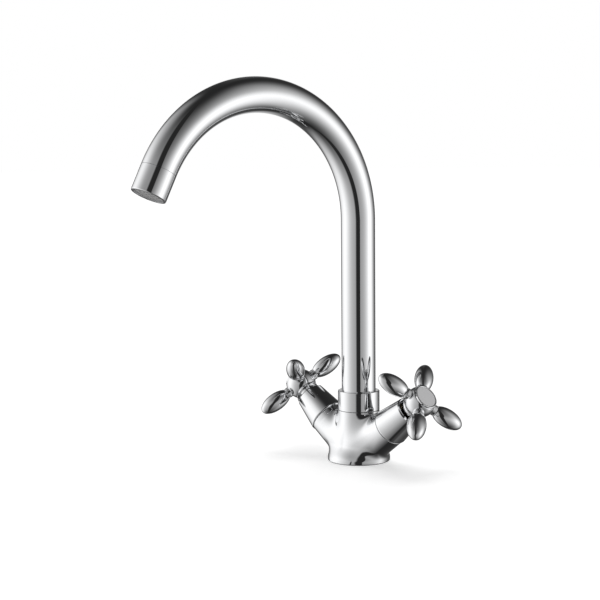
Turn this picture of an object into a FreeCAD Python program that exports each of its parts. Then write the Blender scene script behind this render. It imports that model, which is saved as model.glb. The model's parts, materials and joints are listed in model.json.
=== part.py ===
import FreeCAD, Part

import math
import os

import Sketcher

# Two handle kitchen faucet: a cast body on a round foot, a swivelling gooseneck spout and two
# cross handles on quarter turn valves. Lengths are millimetres and angles are degrees.
# The origin is the centre of the underside of the foot. +Z is up and the front is -Y.
# The hot side is at -X and the cold side is at +X. The handles are shown closed.

SIZES = [
    # spout
    ("tube_radius", 14.0, "outside radius of the spout tube"),
    ("tube_wall", 1.2, "wall of the spout tube"),
    ("tube_rise", 199.3, "height of the centre of the arch"),
    ("arch_radius", 101.3, "centreline radius of the arch"),
    ("arch_angle", 153.0, "turn of the arch"),
    ("arch_tail", 0.7, "straight tube after the arch"),
    ("spout_swivel", 8.0, "rest position of the spout, turned from the front towards the hot side"),
    ("outlet_length", 21.0, "visible length of the outlet sleeve"),
    ("outlet_round", 0.7, "rounding of the outlet rim"),
    ("outlet_wall", 1.8, "wall of the outlet sleeve round the aerator"),
    ("outlet_plug", 5.0, "length of the outlet sleeve inside the tube"),
    ("aerator_seat", 2.2, "width of the seat behind the aerator"),
    ("aerator_recess", 1.6, "depth of the aerator inside the rim"),
    ("aerator_length", 12.5, "length of the aerator cartridge"),
    ("aerator_hole_radius", 0.9, "radius of one hole of the flow straightener"),
    ("aerator_border", 2.4, "distance of the outer ring of holes from the waterway wall"),
    ("aerator_web", 1.6, "thickness of the flow straightener"),
    ("screen_thick", 0.8, "thickness of the inlet screen"),
    ("washer_thick", 1.6, "thickness of the aerator washer"),
    # body casting
    ("foot_radius", 25.7, "radius of the foot"),
    ("foot_height", 3.0, "height of the straight side of the foot"),
    ("foot_round", 1.0, "rounding of the lower edge of the foot"),
    ("neck_step", 3.2, "step from the tube out to the neck and the collar"),
    ("neck_start", 17.0, "height where the neck becomes straight"),
    ("neck_top", 42.4, "height of the joint line under the collar"),
    ("collar_wall", 1.9, "wall of the collar outside its thread"),
    ("spigot_height", 7.6, "height of the spigot above the joint line"),
    ("socket_step", 2.4, "step from the tube in to the socket for the spout foot"),
    ("socket_depth", 21.5, "depth of that bore below the top of the spigot"),
    ("chamber_radius", 8.0, "radius of the mixing chamber under the socket"),
    ("chamber_floor", 14.0, "height of the floor of the mixing chamber"),
    ("arm_elevation", 38.0, "angle of the valve arms above the horizontal"),
    ("arm_origin", 4.6, "height where the two arm axes meet"),
    ("arm_radius", 15.2, "radius of an arm"),
    ("arm_length", 43.6, "arm shoulder, measured along the arm axis"),
    ("arm_blend", 8.0, "fillet between the arms and the core"),
    ("boss_radius", 12.6, "threaded boss on the arm shoulder"),
    ("boss_length", 5.0, "length of that boss"),
    ("pocket_radius", 9.3, "threaded pocket for the valve cartridge"),
    ("pocket_depth", 22.6, "depth of the pocket below the end of the boss"),
    ("feed_radius", 2.8, "channel from an inlet to its valve seat"),
    ("mix_radius", 2.2, "channel from a valve to the mixing chamber"),
    ("inlet_radius", 4.5, "tapped hole for a flexible inlet pipe"),
    ("inlet_depth", 11.0, "depth of an inlet hole"),
    ("inlet_offset", 8.0, "distance of an inlet hole from the middle"),
    ("stud_radius", 3.4, "tapped hole for the fixing stud"),
    ("stud_depth", 14.0, "depth of the stud hole"),
    ("stud_offset", 13.0, "distance of the stud hole behind the middle"),
    ("seal_inner", 20.3, "inside radius of the seal groove in the foot"),
    ("seal_outer", 23.9, "outside radius of the seal groove in the foot"),
    ("seal_depth", 2.5, "depth of the seal groove"),
    # collar and spout foot
    ("seam", 0.15, "hairline joint between two visible pieces"),
    ("running_gap", 0.05, "radial clearance of a turning fit"),
    ("plug_gap", 0.1, "clearance of a plug in the end of the tube"),
    ("collar_height", 16.3, "height of the collar above its joint line"),
    ("collar_round", 0.8, "rounding of the upper edge of the collar"),
    ("slip_thick", 0.9, "thickness of a slip ring"),
    ("flange_thick", 2.1, "thickness of the flange of the spout foot"),
    ("bush_bore", 8.0, "waterway through the spout foot"),
    ("bush_plug", 13.0, "length of the spout foot inside the tube"),
    ("ring_section", 0.95, "section radius of the spout seals"),
    ("ring_first", 4.6, "height of the lower spout seal above the end of the spout foot"),
    ("ring_pitch", 7.0, "distance between the two spout seals"),
    # handle shroud
    ("shroud_foot", 16.0, "radius of the shroud at the joint with the body"),
    ("shroud_head", 12.2, "radius of the shroud at its outer end"),
    ("shroud_length", 27.2, "length of the shroud"),
    ("shroud_round", 1.4, "rounding of the lower edge of the shroud"),
    ("shroud_bevel", 0.9, "bevel of the outer edge of the shroud"),
    ("shroud_wall", 1.8, "wall of the shroud"),
    ("shroud_mouth", 10.4, "radius of the opening at the outer end"),
    # valve cartridge
    ("seat_ring_inner", 5.0, "bore of the seat seal"),
    ("seat_ring_outer", 8.2, "outside radius of the seat seal"),
    ("seat_ring_thick", 2.6, "thickness of the seat seal"),
    ("disc_radius", 7.1, "radius of a ceramic disc"),
    ("disc_thick", 3.0, "thickness of a ceramic disc"),
    ("disc_port", 1.9, "radius of a water port in a ceramic disc"),
    ("disc_port_offset", 3.9, "distance of a water port from the axis"),
    ("disc_film", 0.03, "gap between the two ceramic discs"),
    ("sleeve_radius", 8.5, "radius of the sleeve below the thread"),
    ("thread_length", 11.0, "length of the cartridge thread"),
    ("bonnet_flange_radius", 11.8, "radius of the cartridge flange"),
    ("bonnet_flange_thick", 2.6, "thickness of the cartridge flange"),
    ("bonnet_seal_thick", 0.8, "thickness of the seal under the flange"),
    ("hex_radius", 9.8, "corner radius of the spanner hexagon"),
    ("hex_length", 7.0, "length of the hexagon"),
    ("guide_radius", 6.8, "radius of the guide above the hexagon"),
    ("guide_length", 5.6, "length of the guide"),
    ("window_width", 6.0, "width of the side window of the sleeve"),
    ("window_height", 5.0, "height of the side window of the sleeve"),
    ("spindle_radius", 4.0, "radius of the spindle"),
    ("driver_thick", 3.4, "thickness of the driver at the foot of the spindle"),
    ("stem_ring_section", 0.7, "section radius of the spindle seal"),
    ("stem_ring_place", 8.0, "distance of the spindle seal below the top of the guide"),
    ("clip_gap", 0.3, "gap between the guide and the spindle clip"),
    ("clip_thick", 0.8, "thickness of the spindle clip"),
    ("clip_radius", 5.8, "outside radius of the spindle clip"),
    ("clip_groove", 0.7, "depth of the clip groove in the spindle"),
    # cross handle
    ("ball_radius", 12.6, "radius of the hub ball"),
    ("cross_plane", 40.6, "distance of the cross from the arm shoulder"),
    ("hub_front", 6.3, "front face of the hub before the plane of the cross"),
    ("hub_back", 7.6, "back end of the ball behind the plane of the cross"),
    ("hub_ring_radius", 10.0, "radius of the ring behind the ball"),
    ("hub_ring_thick", 1.4, "thickness of that ring"),
    ("hub_groove", 0.5, "groove between the ring and the ball"),
    ("hub_groove_radius", 9.0, "radius at the bottom of that groove"),
    ("hub_neck_radius", 8.4, "radius of the neck that enters the shroud"),
    ("hub_neck_length", 5.5, "length of that neck"),
    ("spindle_seat", 1.6, "end of the spindle behind the plane of the cross"),
    ("screw_radius", 2.0, "radius of the handle screw"),
    ("screw_length", 14.0, "length of the handle screw under its head"),
    ("screw_head_radius", 4.0, "radius of the screw head"),
    ("screw_head_thick", 2.4, "thickness of the screw head"),
    ("screw_socket", 1.5, "depth of the socket in the screw head"),
    ("screw_socket_radius", 1.45, "corner radius of the hexagon socket"),
    ("screw_gap", 0.15, "clearance round the screw"),
    ("cap_radius", 10.3, "radius of the cap"),
    ("cap_thick", 2.0, "thickness of the cap"),
    ("cap_round", 0.5, "rounding of the edge of the cap"),
    ("cap_plug_radius", 8.5, "radius of the plug behind the cap"),
    ("cap_plug_wall", 1.5, "wall of that plug"),
    ("cap_plug_length", 2.0, "length of that plug"),
    ("cap_rim", 1.4, "width of the rim round the index disc"),
    ("index_thick", 0.8, "thickness of the index disc"),
    ("index_recess", 0.3, "depth of the index disc below the rim"),
    ("handle_angle", 46.0, "turn of the cross about the arm axis when closed"),
    # one arm of the cross
    ("petal_centre", 26.7, "distance of the middle of the petal from the handle axis"),
    ("petal_half_length", 14.4, "half of the length of the petal"),
    ("petal_half_width", 7.9, "half of the width of the petal"),
    ("petal_half_thick", 7.3, "half of the thickness of the petal"),
    ("petal_start", 15.2, "inner end of the petal"),
    ("ferrule_radius", 4.5, "radius of the collar of the petal"),
    ("ferrule_end", 14.5, "outer end of that collar"),
    ("ferrule_waist", 3.6, "radius of the groove between collar and petal"),
    ("tang_radius", 2.5, "radius of the stud that screws into the hub"),
    ("tang_start", 8.8, "inner end of that stud"),
    ("tang_gap", 0.02, "clearance round that stud"),
]

PETALS = 4
INNER_HOLES = 6
OUTER_HOLES = 12


class Size:
    """A length with its number and the expression that features are bound to."""

    def __init__(self, number, words):
        self.number = number
        self.words = words

    def join(self, sign, other, number):
        return Size(number, f"({self.words} {sign} {as_size(other).words})")

    def __add__(self, other):
        return self.join("+", other, self.number + as_size(other).number)

    def __sub__(self, other):
        return self.join("-", other, self.number - as_size(other).number)

    def __mul__(self, other):
        return self.join("*", other, self.number * as_size(other).number)

    def __truediv__(self, other):
        return self.join("/", other, self.number / as_size(other).number)

    def __neg__(self):
        return Size(-self.number, f"(0 - {self.words})")


def as_size(value):
    """Give a bare number the same form as a named size."""
    return value if isinstance(value, Size) else Size(float(value), f"{value:.6g}")


class Named:
    """The driving sizes, each one read back from its cell of the sheet."""


doc = FreeCAD.newDocument("two_handle_kitchen_faucet")
Vector = FreeCAD.Vector
Rotation = FreeCAD.Rotation
Placement = FreeCAD.Placement
UP = Vector(0, 0, 1)
ACROSS = Vector(0, 1, 0)
SIDE = Vector(1, 0, 0)
ORIGIN = Vector(0, 0, 0)
FULL_TURN = 360.0


def write_sheet():
    """Write the driving sizes into the sheet and return them by name."""
    sheet = doc.addObject("Spreadsheet::Sheet", "Sizes")
    for row, (alias, number, note) in enumerate(SIZES, start=1):
        sheet.set(f"A{row}", alias)
        sheet.set(f"B{row}", str(number))
        sheet.set(f"C{row}", note)
        sheet.setAlias(f"B{row}", alias)
    doc.recompute()
    named = Named()
    for alias, _, _ in SIZES:
        setattr(named, alias, Size(float(sheet.get(alias)), f"Sizes.{alias}"))
    return named


S = write_sheet()
pieces = []


# ---------------------------------------------------------------- building blocks


def bind(feature, **sizes):
    """Bind properties of a feature to expressions of the sheet."""
    for name, size in sizes.items():
        feature.setExpression(name, as_size(size).words)
    return feature


def lift(feature, height):
    """Bind the height of a feature above the origin of its piece."""
    feature.setExpression("Placement.Base.z", as_size(height).words)
    return feature


def origin_feature(body, role):
    """The origin plane or axis of a body, found by its role."""
    return next(item for item in body.Origin.OriginFeatures if item.Role == role)


def new_sketch(body, name, plane="XZ_Plane"):
    sketch = body.newObject("Sketcher::SketchObject", name)
    sketch.AttachmentSupport = (origin_feature(body, plane), [""])
    sketch.MapMode = "FlatFace"
    return sketch


def hold(sketch, kind, axis, edge, point, size):
    """Fix one coordinate of a sketch point, on the axis or at a named size."""
    size = as_size(size)
    if size.number == 0.0 and size.words == "0":
        sketch.addConstraint(Sketcher.Constraint("PointOnObject", edge, point, axis))
        return
    index = sketch.addConstraint(Sketcher.Constraint(kind, -1, 1, edge, point, size.number))
    sketch.setExpression(f"Constraints[{index}]", size.words)


def outline(body, name, corners):
    """A closed outline of straight edges through (radius, height) corners."""
    sketch = new_sketch(body, name)
    points = [Vector(as_size(r).number, as_size(z).number, 0) for r, z in corners]
    count = len(corners)
    for index in range(count):
        sketch.addGeometry(Part.LineSegment(points[index], points[(index + 1) % count]))
    for index in range(count):
        sketch.addConstraint(Sketcher.Constraint("Coincident", index, 2, (index + 1) % count, 1))
    for index, (radius, height) in enumerate(corners):
        hold(sketch, "DistanceX", -2, index, 1, radius)
        hold(sketch, "DistanceY", -1, index, 1, height)
    return sketch


def turn(body, name, corners, cut=False):
    """Turn an outline about the Z axis of the piece, adding or cutting."""
    sketch = outline(body, name + "_outline", corners)
    feature = body.newObject("PartDesign::Groove" if cut else "PartDesign::Revolution", name)
    feature.Profile = sketch
    feature.ReferenceAxis = (sketch, ["V_Axis"])
    feature.Angle = FULL_TURN
    return feature


def new_body(label):
    return doc.addObject("PartDesign::Body", label)


def turned(label, corners):
    """A round piece made by turning one outline."""
    body = new_body(label)
    turn(body, label + "_turned", corners)
    return body


def drum(body, name, radius, length, place, cut=True):
    """A cylinder that is cut from a body or added to it."""
    kind = "PartDesign::SubtractiveCylinder" if cut else "PartDesign::AdditiveCylinder"
    cylinder = body.newObject(kind, name)
    bind(cylinder, Radius=radius, Height=length)
    cylinder.Placement = place
    return cylinder


def round_edges(body, name, size, chosen):
    """Round the edges of the body so far that a test picks."""
    doc.recompute()
    base = body.Tip
    names = [f"Edge{i}" for i, edge in enumerate(base.Shape.Edges, start=1) if chosen(edge)]
    fillet = body.newObject("PartDesign::Fillet", name)
    fillet.Base = (base, names)
    bind(fillet, Radius=size)
    return fillet


def is_ring(edge, radius, height, near=0.01):
    """True for a circle about the Z axis of the piece at one radius and height."""
    if not isinstance(edge.Curve, Part.Circle):
        return False
    centre = edge.Curve.Center
    on_axis = math.hypot(centre.x, centre.y) < near
    return on_axis and abs(edge.Curve.Radius - radius) < near and abs(centre.z - height) < near


def finish(item, label, place=None):
    """Name a sub-part, put it in its place and add it to the list."""
    item.Label = label
    if place is not None:
        item.Placement = place
    pieces.append(item)
    return item


# ---------------------------------------------------------------- places


def spout_turn():
    """Rotation of the spout from the front to its rest position."""
    return Rotation(UP, -S.spout_swivel.number)


def arm_place(half_turn):
    """Place of an arm: its Z axis runs outwards along the arm."""
    tilt = 90.0 - S.arm_elevation.number
    turned_side = Rotation(UP, half_turn).multiply(Rotation(ACROSS, tilt))
    return Placement(Vector(0, 0, S.arm_origin.number), turned_side)


def arm_point(half_turn, along, out=0.0):
    """A point at a distance along an arm and at a distance above its axis."""
    return arm_place(half_turn).multVec(Vector(-out, 0, along))


ARMS = [("hot", 180.0), ("cold", 0.0)]


def from_to(start, end):
    """Place of a cylinder that runs from one point to another."""
    return Placement(start, Rotation(UP, end.sub(start)))


# ---------------------------------------------------------------- derived sizes

tube_bore = S.tube_radius - S.tube_wall
outlet_thread = S.tube_radius - S.outlet_wall
waterway = outlet_thread - S.aerator_seat
neck_radius = S.tube_radius + S.neck_step
spigot_radius = neck_radius - S.collar_wall
socket_radius = S.tube_radius - S.socket_step
boss_end = S.arm_length + S.boss_length
seat = boss_end - S.pocket_depth
spigot_top = S.neck_top + S.spigot_height
socket_floor = spigot_top - S.socket_depth
flange_under = spigot_top + S.slip_thick
flange_over = flange_under + S.flange_thick
tube_start = flange_over
collar_shoulder = flange_over + S.slip_thick
disc_start = seat + S.seat_ring_thick
upper_disc_start = disc_start + S.disc_thick + S.disc_film
driver_start = upper_disc_start + S.disc_thick
driver_end = driver_start + S.driver_thick
flange_start = boss_end + S.bonnet_seal_thick
hex_start = flange_start + S.bonnet_flange_thick
guide_start = hex_start + S.hex_length
guide_end = guide_start + S.guide_length
cross = S.arm_length + S.cross_plane
hub_face = cross + S.hub_front
ball_back = cross - S.hub_back
ring_front = ball_back - S.hub_groove
ring_back = ring_front - S.hub_ring_thick
neck_back = ring_back - S.hub_neck_length
spindle_end = cross - S.spindle_seat
aerator_end = S.outlet_length - S.aerator_recess
aerator_start = aerator_end - S.aerator_length
screen_start = aerator_start - S.screen_thick
washer_start = screen_start - S.washer_thick


# ---------------------------------------------------------------- body casting


def core_outline(body):
    """Foot, waist and neck: two equal arcs lead from the foot to the neck."""
    drop = S.foot_radius.number - neck_radius.number
    rise = S.neck_start.number - S.foot_height.number
    bend = 2.0 * math.atan2(drop, rise)
    radius = rise / (2.0 * math.sin(bend))
    inside = Vector(S.foot_radius.number - radius, S.foot_height.number, 0)
    outside = Vector(neck_radius.number + radius, S.neck_start.number, 0)
    corners = [
        (0, 0),
        (S.foot_radius, 0),
        (S.foot_radius, S.foot_height),
        (neck_radius, S.neck_start),
        (neck_radius, S.neck_top),
        (spigot_radius, S.neck_top),
        (spigot_radius, spigot_top),
        (0, spigot_top),
    ]
    points = [Vector(as_size(r).number, as_size(z).number, 0) for r, z in corners]
    sketch = new_sketch(body, "core_outline")
    chain = []
    for index in range(len(corners)):
        nxt = (index + 1) % len(corners)
        if index == 2:
            low = Part.ArcOfCircle(Part.Circle(inside, UP, radius), 0.0, bend)
            high = Part.ArcOfCircle(Part.Circle(outside, UP, radius), math.pi, math.pi + bend)
            chain.append((sketch.addGeometry(low), 1, 2))
            chain.append((sketch.addGeometry(high), 2, 1))
        else:
            line = Part.LineSegment(points[index], points[nxt])
            chain.append((sketch.addGeometry(line), 1, 2))
    foot_side, low, high, neck_side = chain[1], chain[2], chain[3], chain[4]
    smooth = [(foot_side, low), (low, high), (high, neck_side)]
    for number, edge in enumerate(chain):
        after = chain[(number + 1) % len(chain)]
        kind = "Tangent" if (edge, after) in smooth else "Coincident"
        sketch.addConstraint(Sketcher.Constraint(kind, edge[0], edge[2], after[0], after[1]))
    sketch.addConstraint(Sketcher.Constraint("Equal", low[0], high[0]))
    starts = chain[:3] + chain[4:]
    for edge, (radius, height) in zip(starts, corners):
        if edge is neck_side:
            # the arcs already meet the neck at its radius: its height alone is still open
            hold(sketch, "DistanceY", -1, edge[0], edge[1], height)
            continue
        hold(sketch, "DistanceX", -2, edge[0], edge[1], radius)
        hold(sketch, "DistanceY", -1, edge[0], edge[1], height)
    return sketch


def on_arm_flank(edge, half_turn):
    """True for an edge that lies on the cylinder of an arm, but not on its end."""
    middle = edge.valueAt((edge.FirstParameter + edge.LastParameter) / 2.0)
    local = arm_place(half_turn).inverse().multVec(middle)
    on_cylinder = abs(math.hypot(local.x, local.y) - S.arm_radius.number) < 0.05
    on_base = middle.z < S.seam.number
    return on_cylinder and not on_base and local.z < S.arm_length.number - 0.5


def is_blend_edge(edge):
    """True for the seam between an arm and the core."""
    if isinstance(edge.Curve, Part.Line):
        return False
    return any(on_arm_flank(edge, half_turn) for _, half_turn in ARMS)


def make_body():
    """The body casting with its sockets, channels and tapped holes."""
    body = new_body("body")
    core = body.newObject("PartDesign::Revolution", "core")
    core.Profile = core_outline(body)
    core.ReferenceAxis = (core.Profile[0], ["V_Axis"])
    core.Angle = FULL_TURN
    for side, half_turn in ARMS:
        drum(body, side + "_arm", S.arm_radius, S.arm_length, arm_place(half_turn), cut=False)
    below = [(0, 0), (S.foot_radius, 0), (S.foot_radius, -S.arm_radius), (0, -S.arm_radius)]
    turn(body, "level_foot", below, cut=True)
    round_edges(body, "arm_blends", S.arm_blend, is_blend_edge)
    foot = S.foot_radius.number
    round_edges(body, "foot_edge", S.foot_round, lambda edge: is_ring(edge, foot, 0.0))
    for side, half_turn in ARMS:
        cut_valve_arm(body, side, half_turn)
    doc.recompute()
    turn(
        body,
        "spout_socket",
        [
            (0, S.chamber_floor),
            (S.chamber_radius, S.chamber_floor),
            (S.chamber_radius, socket_floor),
            (socket_radius, socket_floor),
            (socket_radius, spigot_top + S.seam),
            (0, spigot_top + S.seam),
        ],
        cut=True,
    )
    turn(
        body,
        "seal_groove",
        [
            (S.seal_inner, 0),
            (S.seal_outer, 0),
            (S.seal_outer, S.seal_depth),
            (S.seal_inner, S.seal_depth),
        ],
        cut=True,
    )
    stud_place = Placement(Vector(0, S.stud_offset.number, 0), Rotation())
    drum(body, "stud_hole", S.stud_radius, S.stud_depth, stud_place)
    finish(body, "body")


def cut_valve_arm(body, side, half_turn):
    """Boss, cartridge pocket, inlet hole and water channels of one side."""
    shoulder = Placement(Vector(0, 0, S.arm_length.number), Rotation())
    arm = arm_place(half_turn)
    drum(body, side + "_boss", S.boss_radius, S.boss_length, arm.multiply(shoulder), cut=False)
    pocket = Placement(Vector(0, 0, seat.number), Rotation())
    depth = S.pocket_depth + S.seam
    drum(body, side + "_pocket", S.pocket_radius, depth, arm.multiply(pocket))
    toward = -1.0 if half_turn else 1.0
    mouth = Vector(toward * S.inlet_offset.number, 0, 0)
    drum(body, side + "_inlet", S.inlet_radius, S.inlet_depth, Placement(mouth, Rotation()))
    feed_start = mouth + Vector(0, 0, S.inlet_depth.number - S.feed_radius.number)
    feed_end = arm_point(half_turn, seat.number + S.feed_radius.number)
    feed = body.newObject("PartDesign::SubtractiveCylinder", side + "_feed")
    bind(feed, Radius=S.feed_radius)
    feed.Height = feed_end.sub(feed_start).Length
    feed.Placement = from_to(feed_start, feed_end)
    mix_start = Vector(0, 0, S.chamber_floor.number + S.mix_radius.number)
    wall = S.pocket_radius.number - S.mix_radius.number / 2.0
    mix_end = arm_point(half_turn, disc_start.number + S.mix_radius.number, wall)
    mix = body.newObject("PartDesign::SubtractiveCylinder", side + "_mix")
    bind(mix, Radius=S.mix_radius)
    mix.Height = mix_end.sub(mix_start).Length
    mix.Placement = from_to(mix_start, mix_end)


def make_base_seal():
    """The flat seal ring that fills the groove in the foot."""
    ring = turned(
        "base_seal",
        [
            (S.seal_inner + S.running_gap, 0),
            (S.seal_outer - S.running_gap, 0),
            (S.seal_outer - S.running_gap, S.seal_depth),
            (S.seal_inner + S.running_gap, S.seal_depth),
        ],
    )
    finish(ring, "base_seal")


# ---------------------------------------------------------------- collar and spout foot


def make_collar():
    """The chromed nut that holds the foot of the spout down on the body."""
    bottom = S.neck_top + S.seam
    top = S.neck_top + S.collar_height
    hole = S.tube_radius + S.running_gap
    thread = spigot_radius + S.running_gap
    body = turned(
        "collar",
        [
            (thread, bottom),
            (neck_radius, bottom),
            (neck_radius, top),
            (hole, top),
            (hole, collar_shoulder),
            (thread, collar_shoulder),
        ],
    )
    rim = neck_radius.number
    level = top.number
    round_edges(body, "collar_edge", S.collar_round, lambda edge: is_ring(edge, rim, level))
    finish(body, "collar")


def make_slip_rings():
    """The two plastic rings that the flange of the spout foot turns between."""
    lower = turned(
        "lower_slip_ring",
        [
            (socket_radius + S.running_gap, spigot_top),
            (spigot_radius, spigot_top),
            (spigot_radius, flange_under - S.disc_film),
            (socket_radius + S.running_gap, flange_under - S.disc_film),
        ],
    )
    upper = turned(
        "upper_slip_ring",
        [
            (S.tube_radius + S.running_gap, flange_over + S.disc_film),
            (spigot_radius, flange_over + S.disc_film),
            (spigot_radius, collar_shoulder),
            (S.tube_radius + S.running_gap, collar_shoulder),
        ],
    )
    finish(lower, "lower_slip_ring")
    finish(upper, "upper_slip_ring")


def make_spout_foot():
    """The brass bush that is fixed in the tube and turns in the body."""
    spigot = socket_radius - S.running_gap
    groove = socket_radius - S.running_gap - S.ring_section * 2
    end = socket_floor + S.slip_thick
    first = end + S.ring_first
    second = first + S.ring_pitch
    half = S.ring_section + S.running_gap
    plug = tube_bore - S.plug_gap
    body = turned(
        "spout_foot",
        [
            (S.bush_bore, end),
            (spigot, end),
            (spigot, first - half),
            (groove, first - half),
            (groove, first + half),
            (spigot, first + half),
            (spigot, second - half),
            (groove, second - half),
            (groove, second + half),
            (spigot, second + half),
            (spigot, flange_under),
            (spigot_radius - S.running_gap, flange_under),
            (spigot_radius - S.running_gap, flange_over),
            (plug, flange_over),
            (plug, flange_over + S.bush_plug),
            (S.bush_bore, flange_over + S.bush_plug),
        ],
    )
    finish(body, "spout_foot")
    for label, height in (("lower_spout_seal", first), ("upper_spout_seal", second)):
        ring = doc.addObject("Part::Torus", label)
        bind(ring, Radius1=groove + S.ring_section, Radius2=S.ring_section)
        lift(ring, height)
        finish(ring, label)


# ---------------------------------------------------------------- spout


def spout_path(body):
    """Centreline of the spout in the plane of its arch: up, over and down."""
    sketch = new_sketch(body, "spout_path", "YZ_Plane")
    rise = S.tube_rise.number
    arch = S.arch_radius.number
    angle = math.radians(S.arch_angle.number)
    centre = Vector(-arch, rise, 0)
    tip = centre + Vector(arch * math.cos(angle), arch * math.sin(angle), 0)
    tail = tip + Vector(-math.sin(angle), math.cos(angle), 0) * S.arch_tail.number
    leg = sketch.addGeometry(Part.LineSegment(Vector(0, tube_start.number, 0), Vector(0, rise, 0)))
    bow = sketch.addGeometry(Part.ArcOfCircle(Part.Circle(centre, UP, arch), 0.0, angle))
    end = sketch.addGeometry(Part.LineSegment(tip, tail))
    sketch.addConstraint(Sketcher.Constraint("Tangent", leg, 2, bow, 1))
    sketch.addConstraint(Sketcher.Constraint("Tangent", bow, 2, end, 1))
    hold(sketch, "DistanceX", -2, leg, 1, 0)
    hold(sketch, "DistanceY", -1, leg, 1, tube_start)
    hold(sketch, "DistanceX", -2, leg, 2, 0)
    hold(sketch, "DistanceY", -1, leg, 2, S.tube_rise)
    arch_size = sketch.addConstraint(Sketcher.Constraint("Radius", bow, arch))
    sketch.setExpression(f"Constraints[{arch_size}]", S.arch_radius.words)
    tail_size = sketch.addConstraint(Sketcher.Constraint("Distance", end, S.arch_tail.number))
    sketch.setExpression(f"Constraints[{tail_size}]", S.arch_tail.words)
    slant = angle - math.pi / 2.0
    lean = sketch.addConstraint(Sketcher.Constraint("Angle", -1, 1, end, 1, slant - math.pi))
    sketch.setExpression(f"Constraints[{lean}]", f"({S.arch_angle.words} - 270) * 1 deg")
    return sketch


def make_spout_tube():
    """The gooseneck tube: one wall swept along the centreline."""
    body = new_body("spout_tube")
    path = spout_path(body)
    section = new_sketch(body, "tube_section", "XY_Plane")
    section.AttachmentOffset = Placement(Vector(0, 0, tube_start.number), Rotation())
    section.setExpression("AttachmentOffset.Base.z", tube_start.words)
    for radius in (S.tube_radius, tube_bore):
        ring = section.addGeometry(Part.Circle(ORIGIN, UP, radius.number))
        section.addConstraint(Sketcher.Constraint("Coincident", ring, 3, -1, 1))
        index = section.addConstraint(Sketcher.Constraint("Radius", ring, radius.number))
        section.setExpression(f"Constraints[{index}]", radius.words)
    pipe = body.newObject("PartDesign::AdditivePipe", "tube_sweep")
    pipe.Profile = section
    pipe.Spine = path
    finish(body, "spout_tube", Placement(ORIGIN, spout_turn()))


def outlet_place():
    """Place of the outlet: origin at the end of the tube, Z out of the mouth."""
    angle = math.radians(S.arch_angle.number)
    arch = S.arch_radius.number
    ahead = Vector(0, -math.sin(angle), math.cos(angle))
    end = Vector(0, -arch + arch * math.cos(angle), S.tube_rise.number + arch * math.sin(angle))
    end = end + ahead * S.arch_tail.number
    tip = Rotation(SIDE, 180.0 + math.degrees(math.atan2(ahead.y, -ahead.z)))
    turn_place = Placement(ORIGIN, spout_turn())
    return turn_place.multiply(Placement(end, tip))


def make_outlet():
    """The outlet sleeve with its rounded rim and the thread for the aerator."""
    place = outlet_place()
    plug = tube_bore - S.plug_gap * 2
    body = new_body("outlet_sleeve")
    turn(
        body,
        "sleeve",
        [
            (waterway, -S.outlet_plug),
            (plug, -S.outlet_plug),
            (plug, S.seam),
            (S.tube_radius, S.seam),
            (S.tube_radius, S.outlet_length),
            (outlet_thread, S.outlet_length),
            (outlet_thread, washer_start),
            (waterway, washer_start),
        ],
    )
    length = S.outlet_length.number
    outer = S.tube_radius.number
    round_edges(body, "rim", S.outlet_round, lambda edge: is_ring(edge, outer, length))
    finish(body, "outlet_sleeve", place)
    shell = outlet_thread - S.running_gap
    washer = turned(
        "aerator_washer",
        [
            (waterway - S.aerator_web, washer_start),
            (shell, washer_start),
            (shell, screen_start),
            (waterway - S.aerator_web, screen_start),
        ],
    )
    finish(washer, "aerator_washer", place)
    make_aerator(place, shell)


def drill_ring(body, name, start, thick, ring, count):
    """A ring of small holes through a plate."""
    place = Placement(Vector(ring.number, 0, start.number), Rotation())
    hole = drum(body, name + "_hole", S.aerator_hole_radius, thick, place)
    bind(hole, **{"Placement.Base.x": ring, "Placement.Base.z": start})
    doc.recompute()
    pattern = body.newObject("PartDesign::PolarPattern", name)
    pattern.Originals = [hole]
    pattern.Axis = (origin_feature(body, "Z_Axis"), [""])
    pattern.Angle = FULL_TURN
    pattern.Occurrences = count
    body.Tip = pattern


def drill_grid(body, start, thick):
    """A middle hole and two rings of holes."""
    place = Placement(Vector(0, 0, start.number), Rotation())
    middle = drum(body, body.Name + "_middle", S.aerator_hole_radius, thick, place)
    lift(middle, start)
    outer_ring = waterway - S.aerator_border
    inner_ring = outer_ring / 2
    drill_ring(body, body.Name + "_inner", start, thick, inner_ring, INNER_HOLES)
    drill_ring(body, body.Name + "_outer", start, thick, outer_ring, OUTER_HOLES)


def make_aerator(place, shell):
    """The aerator cartridge with its flow straightener, and the inlet screen on it."""
    inside = waterway
    web = aerator_end - S.aerator_web
    cartridge = turned(
        "aerator_cartridge",
        [
            (0, web),
            (inside, web),
            (inside, aerator_start),
            (shell, aerator_start),
            (shell, aerator_end),
            (0, aerator_end),
        ],
    )
    drill_grid(cartridge, web - S.seam, S.aerator_web + S.seam * 2)
    finish(cartridge, "aerator_cartridge", place)
    screen = turned(
        "aerator_screen",
        [
            (0, screen_start),
            (shell, screen_start),
            (shell, aerator_start),
            (0, aerator_start),
        ],
    )
    drill_grid(screen, screen_start - S.seam, S.screen_thick + S.seam * 2)
    finish(screen, "aerator_screen", place)


# ---------------------------------------------------------------- valve cartridge


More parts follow.
